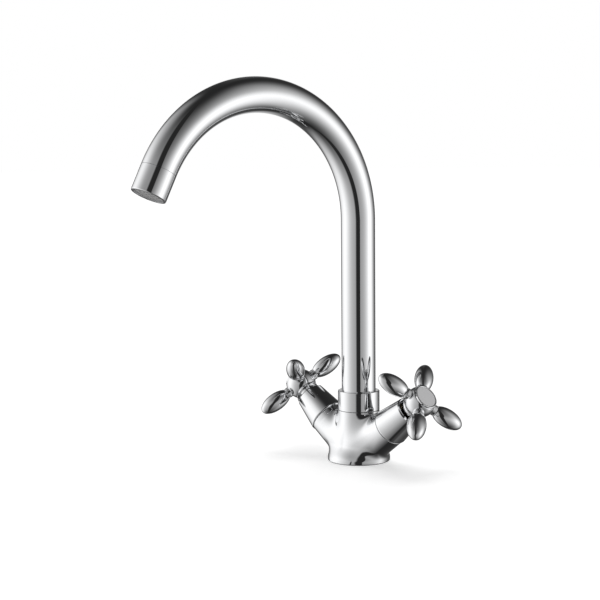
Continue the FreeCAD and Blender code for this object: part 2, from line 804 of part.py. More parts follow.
def make_shroud(side, place):
    """The tapered shroud that screws on the boss and hides the valve cartridge."""
    bottom = S.arm_length + S.seam
    top = S.arm_length + S.shroud_length
    slope = (S.shroud_foot - S.shroud_head) / S.shroud_length
    thread = S.boss_radius + S.running_gap
    step = boss_end + S.bonnet_seal_thick
    lead = step + S.shroud_wall / 2
    throat = top - S.shroud_wall
    lead_radius = S.shroud_foot - slope * (lead - S.arm_length) - S.shroud_wall
    label = side + "_shroud"
    body = turned(
        label,
        [
            (thread, bottom),
            (S.shroud_foot, bottom),
            (S.shroud_head, top - S.shroud_bevel),
            (S.shroud_head - S.shroud_bevel, top),
            (S.shroud_mouth, top),
            (S.shroud_mouth, throat),
            (lead_radius, lead),
            (thread, step),
        ],
    )
    foot = S.shroud_foot.number
    level = bottom.number
    round_edges(body, label + "_edge", S.shroud_round, lambda edge: is_ring(edge, foot, level))
    finish(body, label, place)


def make_cartridge(side, place):
    """The brass valve cartridge: windowed sleeve, thread, flange, hexagon and guide."""
    label = side + "_cartridge"
    bore = S.spindle_radius + S.running_gap
    chamber = S.disc_radius + S.running_gap * 2
    thread = S.pocket_radius - S.disc_film
    body = turned(
        label,
        [
            (chamber, disc_start),
            (S.sleeve_radius, disc_start),
            (S.sleeve_radius, boss_end - S.thread_length),
            (thread, boss_end - S.thread_length),
            (thread, flange_start),
            (S.bonnet_flange_radius, flange_start),
            (S.bonnet_flange_radius, hex_start),
            (S.guide_radius, hex_start),
            (S.guide_radius, guide_end),
            (bore, guide_end),
            (bore, driver_end + S.running_gap),
            (chamber, driver_end + S.running_gap),
        ],
    )
    hexagon = body.newObject("PartDesign::AdditivePrism", label + "_hexagon")
    hexagon.Polygon = 6
    bind(hexagon, Circumradius=S.hex_radius, Height=S.hex_length)
    lift(hexagon, hex_start)
    bore_through = drum(body, label + "_bore", bore, S.hex_length, Placement())
    lift(bore_through, hex_start)
    window = body.newObject("PartDesign::SubtractiveBox", label + "_window")
    bind(window, Length=S.sleeve_radius * 4, Width=S.window_width, Height=S.window_height)
    centre = {
        "Placement.Base.x": -S.sleeve_radius * 2,
        "Placement.Base.y": -S.window_width / 2,
        "Placement.Base.z": upper_disc_start,
    }
    bind(window, **centre)
    finish(body, label, place)
    seal = turned(
        side + "_cartridge_seal",
        [
            (thread + S.running_gap, boss_end),
            (S.bonnet_flange_radius, boss_end),
            (S.bonnet_flange_radius, flange_start),
            (thread + S.running_gap, flange_start),
        ],
    )
    finish(seal, side + "_cartridge_seal", place)
    seat_seal = turned(
        side + "_seat_seal",
        [
            (S.seat_ring_inner, seat),
            (S.seat_ring_outer, seat),
            (S.seat_ring_outer, disc_start),
            (S.seat_ring_inner, disc_start),
        ],
    )
    finish(seat_seal, side + "_seat_seal", place)


def make_disc(label, start, first_angle, place):
    """A ceramic disc with two opposite water ports."""
    body = new_body(label)
    disc = body.newObject("PartDesign::AdditiveCylinder", label + "_blank")
    bind(disc, Radius=S.disc_radius, Height=S.disc_thick)
    lift(disc, start)
    for number, half in enumerate((0.0, 180.0), start=1):
        away = Rotation(UP, first_angle + half).multVec(SIDE) * S.disc_port_offset.number
        port_place = Placement(away + Vector(0, 0, start.number), Rotation())
        drum(body, f"{label}_port_{number}", S.disc_port, S.disc_thick, port_place)
    finish(body, label, place)


def make_spindle(side, place):
    """The spindle with its driver foot, seal groove and clip groove."""
    label = side + "_spindle"
    shaft = S.spindle_radius
    ring = guide_end - S.stem_ring_place
    half = S.stem_ring_section + S.running_gap
    ring_floor = shaft - S.stem_ring_section * 2
    clip_floor = shaft - S.clip_groove
    clip = guide_end + S.clip_gap
    tapped = S.screw_radius + S.disc_film
    tapped_floor = hub_screw_seat() - S.screw_length - S.seam
    body = turned(
        label,
        [
            (0, driver_start),
            (S.disc_radius, driver_start),
            (S.disc_radius, driver_end),
            (shaft, driver_end),
            (shaft, ring - half),
            (ring_floor, ring - half),
            (ring_floor, ring + half),
            (shaft, ring + half),
            (shaft, clip),
            (clip_floor, clip),
            (clip_floor, clip + S.clip_thick),
            (shaft, clip + S.clip_thick),
            (shaft, spindle_end),
            (tapped, spindle_end),
            (tapped, tapped_floor),
            (0, tapped_floor),
        ],
    )
    finish(body, label, place)
    stem_seal = doc.addObject("Part::Torus", side + "_stem_seal")
    reach = shaft + S.disc_film - S.stem_ring_section
    bind(stem_seal, Radius1=reach, Radius2=S.stem_ring_section)
    stem_seal.Placement = place.multiply(Placement(Vector(0, 0, ring.number), Rotation()))
    finish(stem_seal, side + "_stem_seal")
    make_clip(side, place, clip, clip_floor)


def make_clip(side, place, start, inner):
    """The open spring clip in the groove of the spindle."""
    label = side + "_spindle_clip"
    body = turned(
        label,
        [
            (inner, start),
            (S.clip_radius, start),
            (S.clip_radius, start + S.clip_thick),
            (inner, start + S.clip_thick),
        ],
    )
    slot = body.newObject("PartDesign::SubtractiveBox", label + "_opening")
    bind(slot, Length=S.clip_radius * 2, Width=S.spindle_radius, Height=S.clip_thick)
    bind(slot, **{"Placement.Base.y": -S.spindle_radius / 2, "Placement.Base.z": start})
    finish(body, label, place)


# ---------------------------------------------------------------- cross handle


def hub_screw_seat():
    """Height of the seat of the handle screw inside the hub."""
    return hub_face - S.cap_plug_length - S.screw_head_thick


def make_hub(side, place):
    """The hub of the cross: a ball with a ring and a neck behind it."""
    label = side + "_hub"
    body = new_body(label)
    ball = body.newObject("PartDesign::AdditiveSphere", label + "_ball")
    bind(ball, Radius=S.ball_radius)
    lift(ball, cross)
    beyond = S.ball_radius * 1.5
    turn(
        body,
        label + "_front",
        [(0, hub_face), (beyond, hub_face), (beyond, cross + beyond), (0, cross + beyond)],
        cut=True,
    )
    turn(
        body,
        label + "_back",
        [(0, cross - beyond), (beyond, cross - beyond), (beyond, ball_back), (0, ball_back)],
        cut=True,
    )
    turn(
        body,
        label + "_neck",
        [
            (0, neck_back),
            (S.hub_neck_radius, neck_back),
            (S.hub_neck_radius, ring_back),
            (S.hub_ring_radius, ring_back),
            (S.hub_ring_radius, ring_front),
            (S.hub_groove_radius, ring_front),
            (S.hub_groove_radius, ball_back),
            (0, ball_back),
        ],
    )
    cut_hub_bores(body, label)
    cut_petal_seats(body, label)
    finish(body, label, place)


def cut_hub_bores(body, label):
    """The spindle bore from behind, and the screw hole and cap recess from the front."""
    spindle_bore = S.spindle_radius + S.disc_film
    screw_bore = S.screw_radius + S.screw_gap
    head_bore = S.screw_head_radius + S.screw_gap
    plug_bore = S.cap_plug_radius + S.disc_film
    recess = hub_face - S.cap_plug_length
    screw_seat = hub_screw_seat()
    turn(
        body,
        label + "_bores",
        [
            (0, neck_back - S.seam),
            (spindle_bore, neck_back - S.seam),
            (spindle_bore, spindle_end + S.disc_film),
            (screw_bore, spindle_end + S.disc_film),
            (screw_bore, screw_seat),
            (head_bore, screw_seat),
            (head_bore, recess),
            (plug_bore, recess),
            (plug_bore, hub_face + S.seam),
            (0, hub_face + S.seam),
        ],
        cut=True,
    )


def petal_place(number):
    """Place of one petal on the hub: its Z axis runs outwards along the petal."""
    turn_angle = S.handle_angle.number + number * FULL_TURN / PETALS
    direction = Rotation(UP, turn_angle).multiply(Rotation(ACROSS, 90.0))
    return Placement(Vector(0, 0, cross.number), direction)


def petal_seat():
    """Distance of the flat seat of a petal collar from the handle axis."""
    ball = S.ball_radius.number
    rim = S.ferrule_radius.number
    return math.sqrt(ball * ball - rim * rim)


def cut_petal_seats(body, label):
    """Flat seats and tapped holes for the petals."""
    seat_distance = petal_seat()
    for number in range(PETALS):
        place = petal_place(number)
        flat = Placement(Vector(0, 0, seat_distance), Rotation())
        tang = Placement(Vector(0, 0, S.tang_start.number - S.seam.number), Rotation())
        name = f"{label}_petal_{number + 1}"
        drum(body, name + "_flat", S.ferrule_radius, S.ball_radius, place.multiply(flat))
        hole = S.tang_radius + S.tang_gap
        drum(body, name + "_hole", hole, S.ball_radius, place.multiply(tang))


def make_petal(side, number, place):
    """One arm of the cross: stud, collar, groove and an egg shaped petal."""
    label = f"{side}_petal_{number + 1}"
    egg = doc.addObject("Part::Ellipsoid", label + "_egg")
    bind(egg, Radius1=S.petal_half_length, Radius2=S.petal_half_thick)
    bind(egg, Radius3=S.petal_half_width)
    egg.Angle1 = -90.0
    lift(egg, S.petal_centre)
    trim = doc.addObject("Part::Cylinder", label + "_trim")
    bind(trim, Radius=S.petal_half_width * 2, Height=S.petal_start)
    shell = doc.addObject("Part::Cut", label + "_shell")
    shell.Base = egg
    shell.Tool = trim
    collar_start = Size(petal_seat(), f"{petal_seat():.9g}")
    stem = turned(
        label + "_stem",
        [
            (0, S.tang_start),
            (S.tang_radius, S.tang_start),
            (S.tang_radius, collar_start),
            (S.ferrule_radius, collar_start),
            (S.ferrule_radius, S.ferrule_end),
            (S.ferrule_waist, S.ferrule_end),
            (S.ferrule_waist, S.petal_start),
            (0, S.petal_start),
        ],
    )
    petal = doc.addObject("Part::Fuse", label)
    petal.Base = shell
    petal.Tool = stem
    finish(petal, label, place.multiply(petal_place(number)))


def make_screw(side, place):
    """The socket screw that holds the hub on the spindle."""
    label = side + "_handle_screw"
    start = hub_screw_seat()
    body = turned(
        label,
        [
            (0, start - S.screw_length),
            (S.screw_radius, start - S.screw_length),
            (S.screw_radius, start),
            (S.screw_head_radius, start),
            (S.screw_head_radius, start + S.screw_head_thick),
            (0, start + S.screw_head_thick),
        ],
    )
    socket = body.newObject("PartDesign::SubtractivePrism", label + "_socket")
    socket.Polygon = 6
    bind(socket, Circumradius=S.screw_socket_radius, Height=S.screw_socket)
    lift(socket, start + S.screw_head_thick - S.screw_socket)
    finish(body, label, place)


def make_cap(side, place):
    """The cap that closes the hub, and the index disc set into it."""
    label = side + "_cap"
    front = hub_face + S.cap_thick
    back = hub_face
    plug_end = hub_face - S.cap_plug_length + S.disc_film
    disc_seat = front - S.index_recess - S.index_thick
    disc_edge = S.cap_radius - S.cap_rim
    body = turned(
        label,
        [
            (0, back),
            (S.cap_plug_radius - S.cap_plug_wall, back),
            (S.cap_plug_radius - S.cap_plug_wall, plug_end),
            (S.cap_plug_radius, plug_end),
            (S.cap_plug_radius, back),
            (S.cap_radius, back),
            (S.cap_radius, front),
            (disc_edge, front),
            (disc_edge, disc_seat),
            (0, disc_seat),
        ],
    )
    outer = S.cap_radius.number
    level = front.number
    round_edges(body, label + "_edge", S.cap_round, lambda edge: is_ring(edge, outer, level))
    finish(body, label, place)
    index = turned(
        side + "_index_disc",
        [
            (0, disc_seat),
            (disc_edge - S.disc_film, disc_seat),
            (disc_edge - S.disc_film, disc_seat + S.index_thick),
            (0, disc_seat + S.index_thick),
        ],
    )
    finish(index, side + "_index_disc", place)


# ---------------------------------------------------------------- assembly


def make_side(side, half_turn):
    """Everything on one valve arm."""
    place = arm_place(half_turn)
    make_shroud(side, place)
    make_cartridge(side, place)
    make_disc(side + "_fixed_disc", disc_start, 0.0, place)
    make_disc(side + "_turning_disc", upper_disc_start, 90.0, place)
    make_spindle(side, place)
    make_hub(side, place)
    for number in range(PETALS):
        make_petal(side, number, place)
    make_screw(side, place)
    make_cap(side, place)


def check_document():
    """Stop if any object failed or any sub-part has no valid shape."""
    doc.recompute()
    for item in doc.Objects:
        if "Invalid" in item.State or "Error" in item.State:
            raise RuntimeError(f"{item.Label} failed: {item.State}")
    for item in pieces:
        shape = item.Shape
        if shape.isNull() or not shape.isValid():
            raise RuntimeError(f"{item.Label} has no valid shape")


def export_pieces():
    os.makedirs("parts", exist_ok=True)
    for item in pieces:
        item.Shape.exportStep(os.path.join("parts", item.Label + ".step"))


make_body()
make_base_seal()
make_collar()
make_slip_rings()
make_spout_foot()
make_spout_tube()
make_outlet()
for side_name, side_turn in ARMS:
    make_side(side_name, side_turn)
check_document()
export_pieces()
for piece in pieces:
    solids = len(piece.Shape.Solids)
    print(f"{piece.Label}: {solids} solid, {piece.Shape.Volume / 1000.0:.2f} cm3")
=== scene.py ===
import json
import math

import bmesh
import bpy
import numpy as np
from mathutils import Matrix, Vector


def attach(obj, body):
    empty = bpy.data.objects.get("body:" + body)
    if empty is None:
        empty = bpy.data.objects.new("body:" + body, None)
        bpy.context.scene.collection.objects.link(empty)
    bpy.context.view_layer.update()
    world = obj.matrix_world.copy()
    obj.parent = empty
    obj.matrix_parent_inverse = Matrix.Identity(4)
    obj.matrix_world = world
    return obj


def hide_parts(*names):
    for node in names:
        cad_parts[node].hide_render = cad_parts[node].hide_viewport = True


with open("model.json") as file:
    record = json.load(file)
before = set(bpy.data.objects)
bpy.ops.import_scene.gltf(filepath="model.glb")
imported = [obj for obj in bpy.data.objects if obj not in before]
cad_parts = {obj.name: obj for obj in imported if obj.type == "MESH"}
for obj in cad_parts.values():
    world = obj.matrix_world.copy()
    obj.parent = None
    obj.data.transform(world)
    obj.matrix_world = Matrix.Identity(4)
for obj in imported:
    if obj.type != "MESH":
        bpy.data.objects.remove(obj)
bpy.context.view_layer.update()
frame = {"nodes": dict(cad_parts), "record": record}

bl_info = {
    "name": "Two Handle Kitchen Faucet",
    "version": (1, 0, 0),
    "blender": (4, 5, 0),
    "location": "View3D > Sidebar > Faucet",
    "description": "Chrome gooseneck faucet with two cross handles, and its studio",
    "category": "Add Mesh",
}

MM = 0.001
FULL_TURN = math.tau
SIDES = (("hot", 180.0), ("cold", 0.0))
PETALS = 4
CAMERA_AZIMUTH = 47.79
MIX_FACTOR, MIX_COLOUR_A, MIX_COLOUR_B, MIX_COLOUR_RESULT = 0, 6, 7, 2

# sizes of details, in millimetres
SEAM_ROUND = 0.3
GROOVE_OUTER, GROOVE_INNER, GROOVE_DEPTH = 23.9, 20.3, 2.5
TAPPED_HOLES = ((-8, 0, 4.5, 11), (8, 0, 4.5, 11), (0, 13, 3.4, 14))
SPIGOT_RADIUS, SPIGOT_TOP = 15.3, 50
SOCKET_RADIUS, SOCKET_FLOOR = 11.6, 28.5
CHAMBER_RADIUS, CHAMBER_FLOOR = 8, 14
BOSS_RADIUS, BOSS_LENGTH = 12.6, 5
POCKET_RADIUS, POCKET_FLOOR = 9.3, 26
HUB_FRONT, HUB_BACK = 6.3, 7.6
PETAL_START = 15.2
FERRULE_RADIUS, FERRULE_WAIST = 4.5, 3.6
CAP_THICK, CAP_RIM, CAP_FLOOR = 2.0, 1.4, 0.9


# ---------------------------------------------------------------- settings


def length(label, words, default):
    """A length that a user may change, in metres."""
    return bpy.props.FloatProperty(
        name=label, description=words, default=default * MM, min=0.0, precision=5, subtype="DISTANCE", unit="LENGTH"
    )


def angle(label, words, default):
    """An angle that a user may change."""
    return bpy.props.FloatProperty(
        name=label, description=words, default=math.radians(default), subtype="ANGLE", unit="ROTATION"
    )


def colour(label, words, default):
    """A colour that a user may change."""
    return bpy.props.FloatVectorProperty(
        name=label, description=words, default=default, size=3, min=0.0, max=1.0, subtype="COLOR"
    )


def factor(label, words, default, top=1.0):
    """A plain number that a user may change."""
    return bpy.props.FloatProperty(name=label, description=words, default=default, min=0.0, max=top)


class FaucetSizes(bpy.types.PropertyGroup):
    """Sizes of the visible pieces."""

    tube_radius: length("Tube Radius", "Outside radius of the spout tube", 14.0)
    tube_wall: length("Tube Wall", "Wall of the spout tube", 1.2)
    tube_start: length("Tube Start", "Height of the lower end of the spout tube", 53.0)
    tube_rise: length("Tube Rise", "Height of the centre of the arch", 199.3)
    arch_radius: length("Arch Radius", "Centreline radius of the arch", 101.3)
    arch_angle: angle("Arch Angle", "Turn of the arch", 153.0)
    arch_tail: length("Arch Tail", "Straight tube after the arch", 0.7)
    spout_swivel: angle("Spout Swivel", "Rest position of the spout, towards the hot side", 8.0)
    outlet_length: length("Outlet Length", "Visible length of the outlet sleeve", 21.0)
    foot_radius: length("Foot Radius", "Radius of the foot", 25.7)
    foot_height: length("Foot Height", "Height of the straight side of the foot", 2.2)
    waist_height: length("Waist Height", "Height where the foot has run into the waist", 15.0)
    waist_radius: length("Waist Radius", "Radius of the core above the foot", 18.2)
    arm_radius: length("Arm Radius", "Radius of a valve arm", 15.2)
    web_blend: length("Web Blend", "Reach of the blend between the two arms", 2.0)
    flank_blend: length("Flank Blend", "Reach of the blend between the flank of an arm and the core", 20.0)
    under_blend: length("Under Blend", "Reach of the blend under an arm", 9.0)
    crotch_blend: length("Crotch Blend", "Reach of the blend on top of an arm", 14.0)
    neck_radius: length("Neck Radius", "Radius of the neck and the collar", 17.2)
    neck_top: length("Neck Top", "Height of the joint line under the collar", 42.4)
    collar_height: length("Collar Height", "Height of the collar", 16.3)
    seam: length("Seam", "Hairline joint between two visible pieces", 0.15)
    arm_origin: length("Arm Origin", "Height where the two arm axes meet", 4.6)
    arm_tilt: angle("Arm Tilt", "Angle of the arms from the vertical", 52.0)
    arm_length: length("Arm Length", "Arm shoulder, measured along the arm axis", 43.6)
    shroud_foot: length("Shroud Foot", "Radius of the shroud at the body", 16.0)
    shroud_head: length("Shroud Head", "Radius of the shroud at its outer end", 12.2)
    shroud_length: length("Shroud Length", "Length of the shroud", 27.2)
    cross_plane: length("Cross Plane", "Distance of the cross from the arm shoulder", 40.6)
    ball_radius: length("Ball Radius", "Radius of the hub ball", 12.6)
    cap_radius: length("Cap Radius", "Radius of the cap", 10.3)
    cross_turn: angle("Cross Turn", "Turn of the cross about the arm axis when closed", 46.0)
    petal_centre: length("Petal Centre", "Distance of the middle of a petal from the handle axis", 26.7)
    petal_half_length: length("Petal Half Length", "Half of the length of a petal", 14.4)
    petal_half_width: length("Petal Half Width", "Half of the width of a petal", 7.9)
    petal_half_thick: length("Petal Half Thickness", "Half of the thickness of a petal", 7.3)


class FaucetFinish(bpy.types.PropertyGroup):
    """Colours and gloss of the finishes."""

    chrome: colour("Chrome", "Colour of the chrome plate", (0.86, 0.865, 0.875))
    chrome_gloss: factor("Chrome Roughness", "Roughness of clean chrome plate", 0.03)
    chrome_smudge: factor("Chrome Smudge", "Roughness that handling adds", 0.03)
    # partly painted shade: this brass colour is darker and duller than bare brass, so the brass in the gap inside each
    # shroud mouth renders dark
    brass: colour("Brass", "Colour of the machined brass", (0.38, 0.315, 0.205))
    steel: colour("Steel", "Colour of the stainless steel", (0.62, 0.62, 0.61))
    rubber: colour("Rubber", "Colour of the seals", (0.02, 0.02, 0.021))
    white_plastic: colour("White Plastic", "Colour of the slip rings", (0.78, 0.78, 0.75))
    grey_plastic: colour("Grey Plastic", "Colour of the aerator", (0.36, 0.37, 0.38))
    ceramic: colour("Ceramic", "Colour of the valve discs", (0.84, 0.82, 0.77))
    index: colour("Index Disc", "Colour of the satin disc in a cap", (0.84, 0.84, 0.85))


class FaucetStudio(bpy.types.PropertyGroup):
    """Light of the studio."""

    floor: colour("Floor", "Colour of the floor", (0.82, 0.82, 0.82))
    sky_level: factor("Sky Level", "Even light from all round", 0.45, 4.0)
    lamp_level: factor("Lamp Level", "Strength of the soft lamp", 1.2, 20.0)
    box_level: factor("Light Box Level", "Brightness of the light boxes that the chrome shows", 1.45, 4.0)
    lens: factor("Lens", "Focal length of the camera in millimetres", 97.04, 1000.0)


# ---------------------------------------------------------------- meshes


def trace(bm, steps, closed=False):
    """Draws an outline in the XZ plane. A step is (radius, height), (radius, height, rounding) or
    ("arc", centre radius, centre height, degrees, segments), lengths in millimetres."""
    verts, rounds = [], []
    for step in steps:
        if step[0] == "arc":
            _, across, up, degrees, segments = step
            last = verts[-1]
            made = bmesh.ops.spin(
                bm,
                geom=[last],
                cent=(across * MM, 0, up * MM),
                axis=(0, 1, 0),
                angle=-math.radians(degrees),
                steps=segments,
            )
            verts.append([v for v in made["geom_last"] if isinstance(v, bmesh.types.BMVert)][0])
            continue
        vert = bm.verts.new((step[0] * MM, 0, step[1] * MM))
        if verts:
            bm.edges.new((verts[-1], vert))
        verts.append(vert)
        if len(step) > 2:
            rounds.append((vert, step[2] * MM))
    if closed:
        bm.edges.new((verts[-1], verts[0]))
    for vert, rounding in rounds:
        ends = [edge.other_vert(vert).co - vert.co for edge in vert.link_edges]
        bend = math.pi - ends[0].angle(ends[1])
        bmesh.ops.bevel(
            bm,
            geom=[vert],
            offset=rounding * math.tan(bend / 2),
            affect="VERTICES",
            segments=6,
            profile=0.5,
            material=-1,
            clamp_overlap=False,
        )


def lathe(steps, closed=False, segments=96):
    """Spins an outline into a closed shape round the Z axis."""
    bm = bmesh.new()
    trace(bm, steps, closed)
    bmesh.ops.spin(
        bm,
        geom=bm.verts[:] + bm.edges[:],
        cent=(0, 0, 0),
        axis=(0, 0, 1),
        angle=FULL_TURN,
        steps=segments,
        use_merge=True,
    )
    bmesh.ops.remove_doubles(bm, verts=bm.verts[:], dist=0.0005 * MM)
    bmesh.ops.recalc_face_normals(bm, faces=bm.faces[:])
    return bm


def shade(bm, crease=30.0):
    """Smooth shading that keeps the real edges sharp."""
    limit = math.radians(crease)
    for face in bm.faces:
        face.smooth = True
    for edge in bm.edges:
        edge.smooth = edge.calc_face_angle(0.0) < limit


def piece(bm, name, body, finish, replaced=(), crease=30.0, weighted=True):
    """Makes a finished object of a mesh, lets it ride on its body and stand for its nodes."""
    shade(bm, crease)
    mesh = bpy.data.meshes.new(name)
    bm.to_mesh(mesh)
    bm.free()
    mesh.materials.append(finish)
    item = bpy.data.objects.new(name, mesh)
    bpy.context.scene.collection.objects.link(item)
    if weighted:
        even = item.modifiers.new("even_normals", "WEIGHTED_NORMAL")
        even.keep_sharp = True
        even.weight = 80
    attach(item, body)
    if replaced:
        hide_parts(*replaced)
    return item


def arm_matrix(sizes, half_turn):
    """Place of an arm: its Z axis runs outwards along the arm."""
    rise = Matrix.Translation((0, 0, sizes.arm_origin))
    return rise @ Matrix.Rotation(math.radians(half_turn), 4, "Z") @ Matrix.Rotation(sizes.arm_tilt, 4, "Y")


def spout_matrix(sizes):
    """Rest position of the spout."""
    return Matrix.Rotation(-sizes.spout_swivel, 4, "Z")


def outlet_matrix(sizes):
    """Place of the outlet: origin at the end of the tube, Z out of the mouth."""
    centre = Matrix.Translation((0, -sizes.arch_radius, sizes.tube_rise))
    swung = centre @ Matrix.Rotation(sizes.arch_angle, 4, "X") @ centre.inverted()
    top = Matrix.Translation((0, 0, sizes.tube_rise + sizes.arch_tail))
    return spout_matrix(sizes) @ swung @ top


# ---------------------------------------------------------------- materials


def add_node(tree, kind, place=(0, 0), **settings):
    """Adds a node; a setting is an attribute, or an input when its name isn't one."""
    node = tree.nodes.new(kind)
    node.location = place
    for key, value in settings.items():
        if hasattr(node, key):
            setattr(node, key, value)
        else:
            node.inputs[key.replace("_", " ")].default_value = value
    return node


def surface_marks():
    """Node group: soft smudges and fine marks in a surface, as a value and a height."""
    group = bpy.data.node_groups.get("surface_marks")
    if group:
        return group
    group = bpy.data.node_groups.new("surface_marks", "ShaderNodeTree")
    for label, default in (
        ("Clean", 0.03),
        ("Marked", 0.06),
        ("Smudge Scale", 40.0),
        ("Mark Scale", 900.0),
        ("Mark Share", 0.3),
    ):
        socket = group.interface.new_socket(label, in_out="INPUT", socket_type="NodeSocketFloat")
        socket.default_value = default
    for label in ("Value", "Height"):
        group.interface.new_socket(label, in_out="OUTPUT", socket_type="NodeSocketFloat")
    links = group.links
    entry = add_node(group, "NodeGroupInput", (-900, 0))
    leave = add_node(group, "NodeGroupOutput", (500, 0))
    place = add_node(group, "ShaderNodeTexCoord", (-900, 300))
    smudge = add_node(group, "ShaderNodeTexNoise", (-600, 200), Detail=3.0, Roughness=0.6)
    marks = add_node(group, "ShaderNodeTexNoise", (-600, -100), Detail=2.0, Roughness=0.7)
    links.new(place.outputs["Object"], smudge.inputs["Vector"])
    links.new(place.outputs["Object"], marks.inputs["Vector"])
    links.new(entry.outputs["Smudge Scale"], smudge.inputs["Scale"])
    links.new(entry.outputs["Mark Scale"], marks.inputs["Scale"])
    soft = add_node(group, "ShaderNodeMapRange", (-350, 200), interpolation_type="SMOOTHSTEP")
    soft.inputs["From Min"].default_value = 0.38
    soft.inputs["From Max"].default_value = 0.68
    links.new(smudge.outputs["Fac"], soft.inputs["Value"])
    blend = add_node(group, "ShaderNodeMix", (-100, 100))
    links.new(entry.outputs["Mark Share"], blend.inputs["Factor"])
    links.new(soft.outputs["Result"], blend.inputs["A"])
    links.new(marks.outputs["Fac"], blend.inputs["B"])
    span = add_node(group, "ShaderNodeMapRange", (200, 100))
    links.new(blend.outputs["Result"], span.inputs["Value"])
    links.new(entry.outputs["Clean"], span.inputs["To Min"])
    links.new(entry.outputs["Marked"], span.inputs["To Max"])
    links.new(span.outputs["Result"], leave.inputs["Value"])
    links.new(marks.outputs["Fac"], leave.inputs["Height"])
    return group


def base_material(name):
    """An empty material with a Principled BSDF."""
    finish = bpy.data.materials.new(name)
    finish.use_nodes = True
    tree = finish.node_tree
    tree.nodes.clear()
    out = add_node(tree, "ShaderNodeOutputMaterial", (700, 0))
    shader = add_node(tree, "ShaderNodeBsdfPrincipled", (400, 0))
    tree.links.new(shader.outputs["BSDF"], out.inputs["Surface"])
    return finish, tree, shader


def marked_material(name, tint, metallic, clean, marked, smudge_scale, mark_scale, share, bump):
    """A material whose gloss and relief come from the surface marks group."""
    finish = bpy.data.materials.get(name)
    if finish:
        return finish
    finish, tree, shader = base_material(name)
    shader.inputs["Base Color"].default_value = (*tint, 1.0)
    shader.inputs["Metallic"].default_value = metallic
    marks = add_node(tree, "ShaderNodeGroup", (-300, 0), node_tree=surface_marks())
    for label, value in (
        ("Clean", clean),
        ("Marked", marked),
        ("Smudge Scale", smudge_scale),
        ("Mark Scale", mark_scale),
        ("Mark Share", share),
    ):
        marks.inputs[label].default_value = value
    tree.links.new(marks.outputs["Value"], shader.inputs["Roughness"])
    if bump:
        relief = add_node(tree, "ShaderNodeBump", (100, -200))
        relief.inputs["Strength"].default_value = 1.0
        relief.inputs["Distance"].default_value = bump * MM
        tree.links.new(marks.outputs["Height"], relief.inputs["Height"])
        tree.links.new(relief.outputs["Normal"], shader.inputs["Normal"])
    tone = add_node(tree, "ShaderNodeMix", (100, 200), data_type="RGBA", blend_type="MULTIPLY")
    tone.inputs[MIX_FACTOR].default_value = 1.0
    tone.inputs[MIX_COLOUR_A].default_value = (*tint, 1.0)
    darker = add_node(tree, "ShaderNodeMapRange", (-100, 250))
    darker.inputs["To Min"].default_value = 0.94
    darker.inputs["To Max"].default_value = 1.0
    tree.links.new(marks.outputs["Height"], darker.inputs["Value"])
    tree.links.new(darker.outputs["Result"], tone.inputs[MIX_COLOUR_B])
    tree.links.new(tone.outputs[MIX_COLOUR_RESULT], shader.inputs["Base Color"])
    return finish


def chrome(finish):
    """Polished chrome plate."""
    clean = finish.chrome_gloss
    return marked_material(
        "polished_chrome", finish.chrome, 1.0, clean, clean + finish.chrome_smudge, 45.0, 700.0, 0.25, 0.0
    )


def inner_finishes(finish):
    """Finishes of the pieces that mostly hide inside, by material slot."""
    return {
        "chrome_body": chrome(finish),
        "chrome_spout": chrome(finish),
        "chrome_handle": chrome(finish),
        # painted shade: the darkened brass colour stands in for the shade in the gap inside each shroud mouth
        "brass": marked_material("shade_darkened_brass", finish.brass, 1.0, 0.34, 0.48, 120.0, 2500.0, 0.5, 0.02),
        "steel": marked_material("stainless_steel", finish.steel, 1.0, 0.2, 0.32, 150.0, 3000.0, 0.5, 0.01),
        "black_rubber": marked_material("moulded_rubber", finish.rubber, 0.0, 0.5, 0.7, 90.0, 2500.0, 0.5, 0.03),
        "white_plastic": marked_material(
            "white_plastic", finish.white_plastic, 0.0, 0.3, 0.45, 90.0, 3000.0, 0.5, 0.01
        ),
        "grey_plastic": marked_material("grey_plastic", finish.grey_plastic, 0.0, 0.3, 0.45, 90.0, 3000.0, 0.5, 0.01),
        "ceramic": marked_material("lapped_ceramic", finish.ceramic, 0.0, 0.08, 0.16, 200.0, 4000.0, 0.5, 0.0),
        "satin_index": marked_material("satin_disc", finish.index, 0.15, 0.3, 0.42, 250.0, 5000.0, 0.5, 0.004),
    }


# ---------------------------------------------------------------- operators


def ease(value):
    """Smooth step of an array between 0 and 1."""
    share = np.clip(value, 0.0, 1.0)
    return share * share * (3.0 - 2.0 * share)


def soft_join(first, second, reach):
    """Distance to two shapes that flow into each other."""
    near = np.maximum(reach - np.abs(first - second), 0.0) / reach
    return np.minimum(first, second) - near**3 * reach / 6.0


def core_radius(heights, sizes):
    """Radius of the core of the body: straight foot, concave run to the waist, straight neck."""
    share = ease((heights - sizes.foot_height) / (sizes.waist_height - sizes.foot_height))
    rise = ease((heights - sizes.waist_height) / (sizes.neck_top - sizes.waist_height))
    below = sizes.foot_radius + (sizes.waist_radius - sizes.foot_radius) * share
    return below + (sizes.neck_radius - sizes.waist_radius) * rise


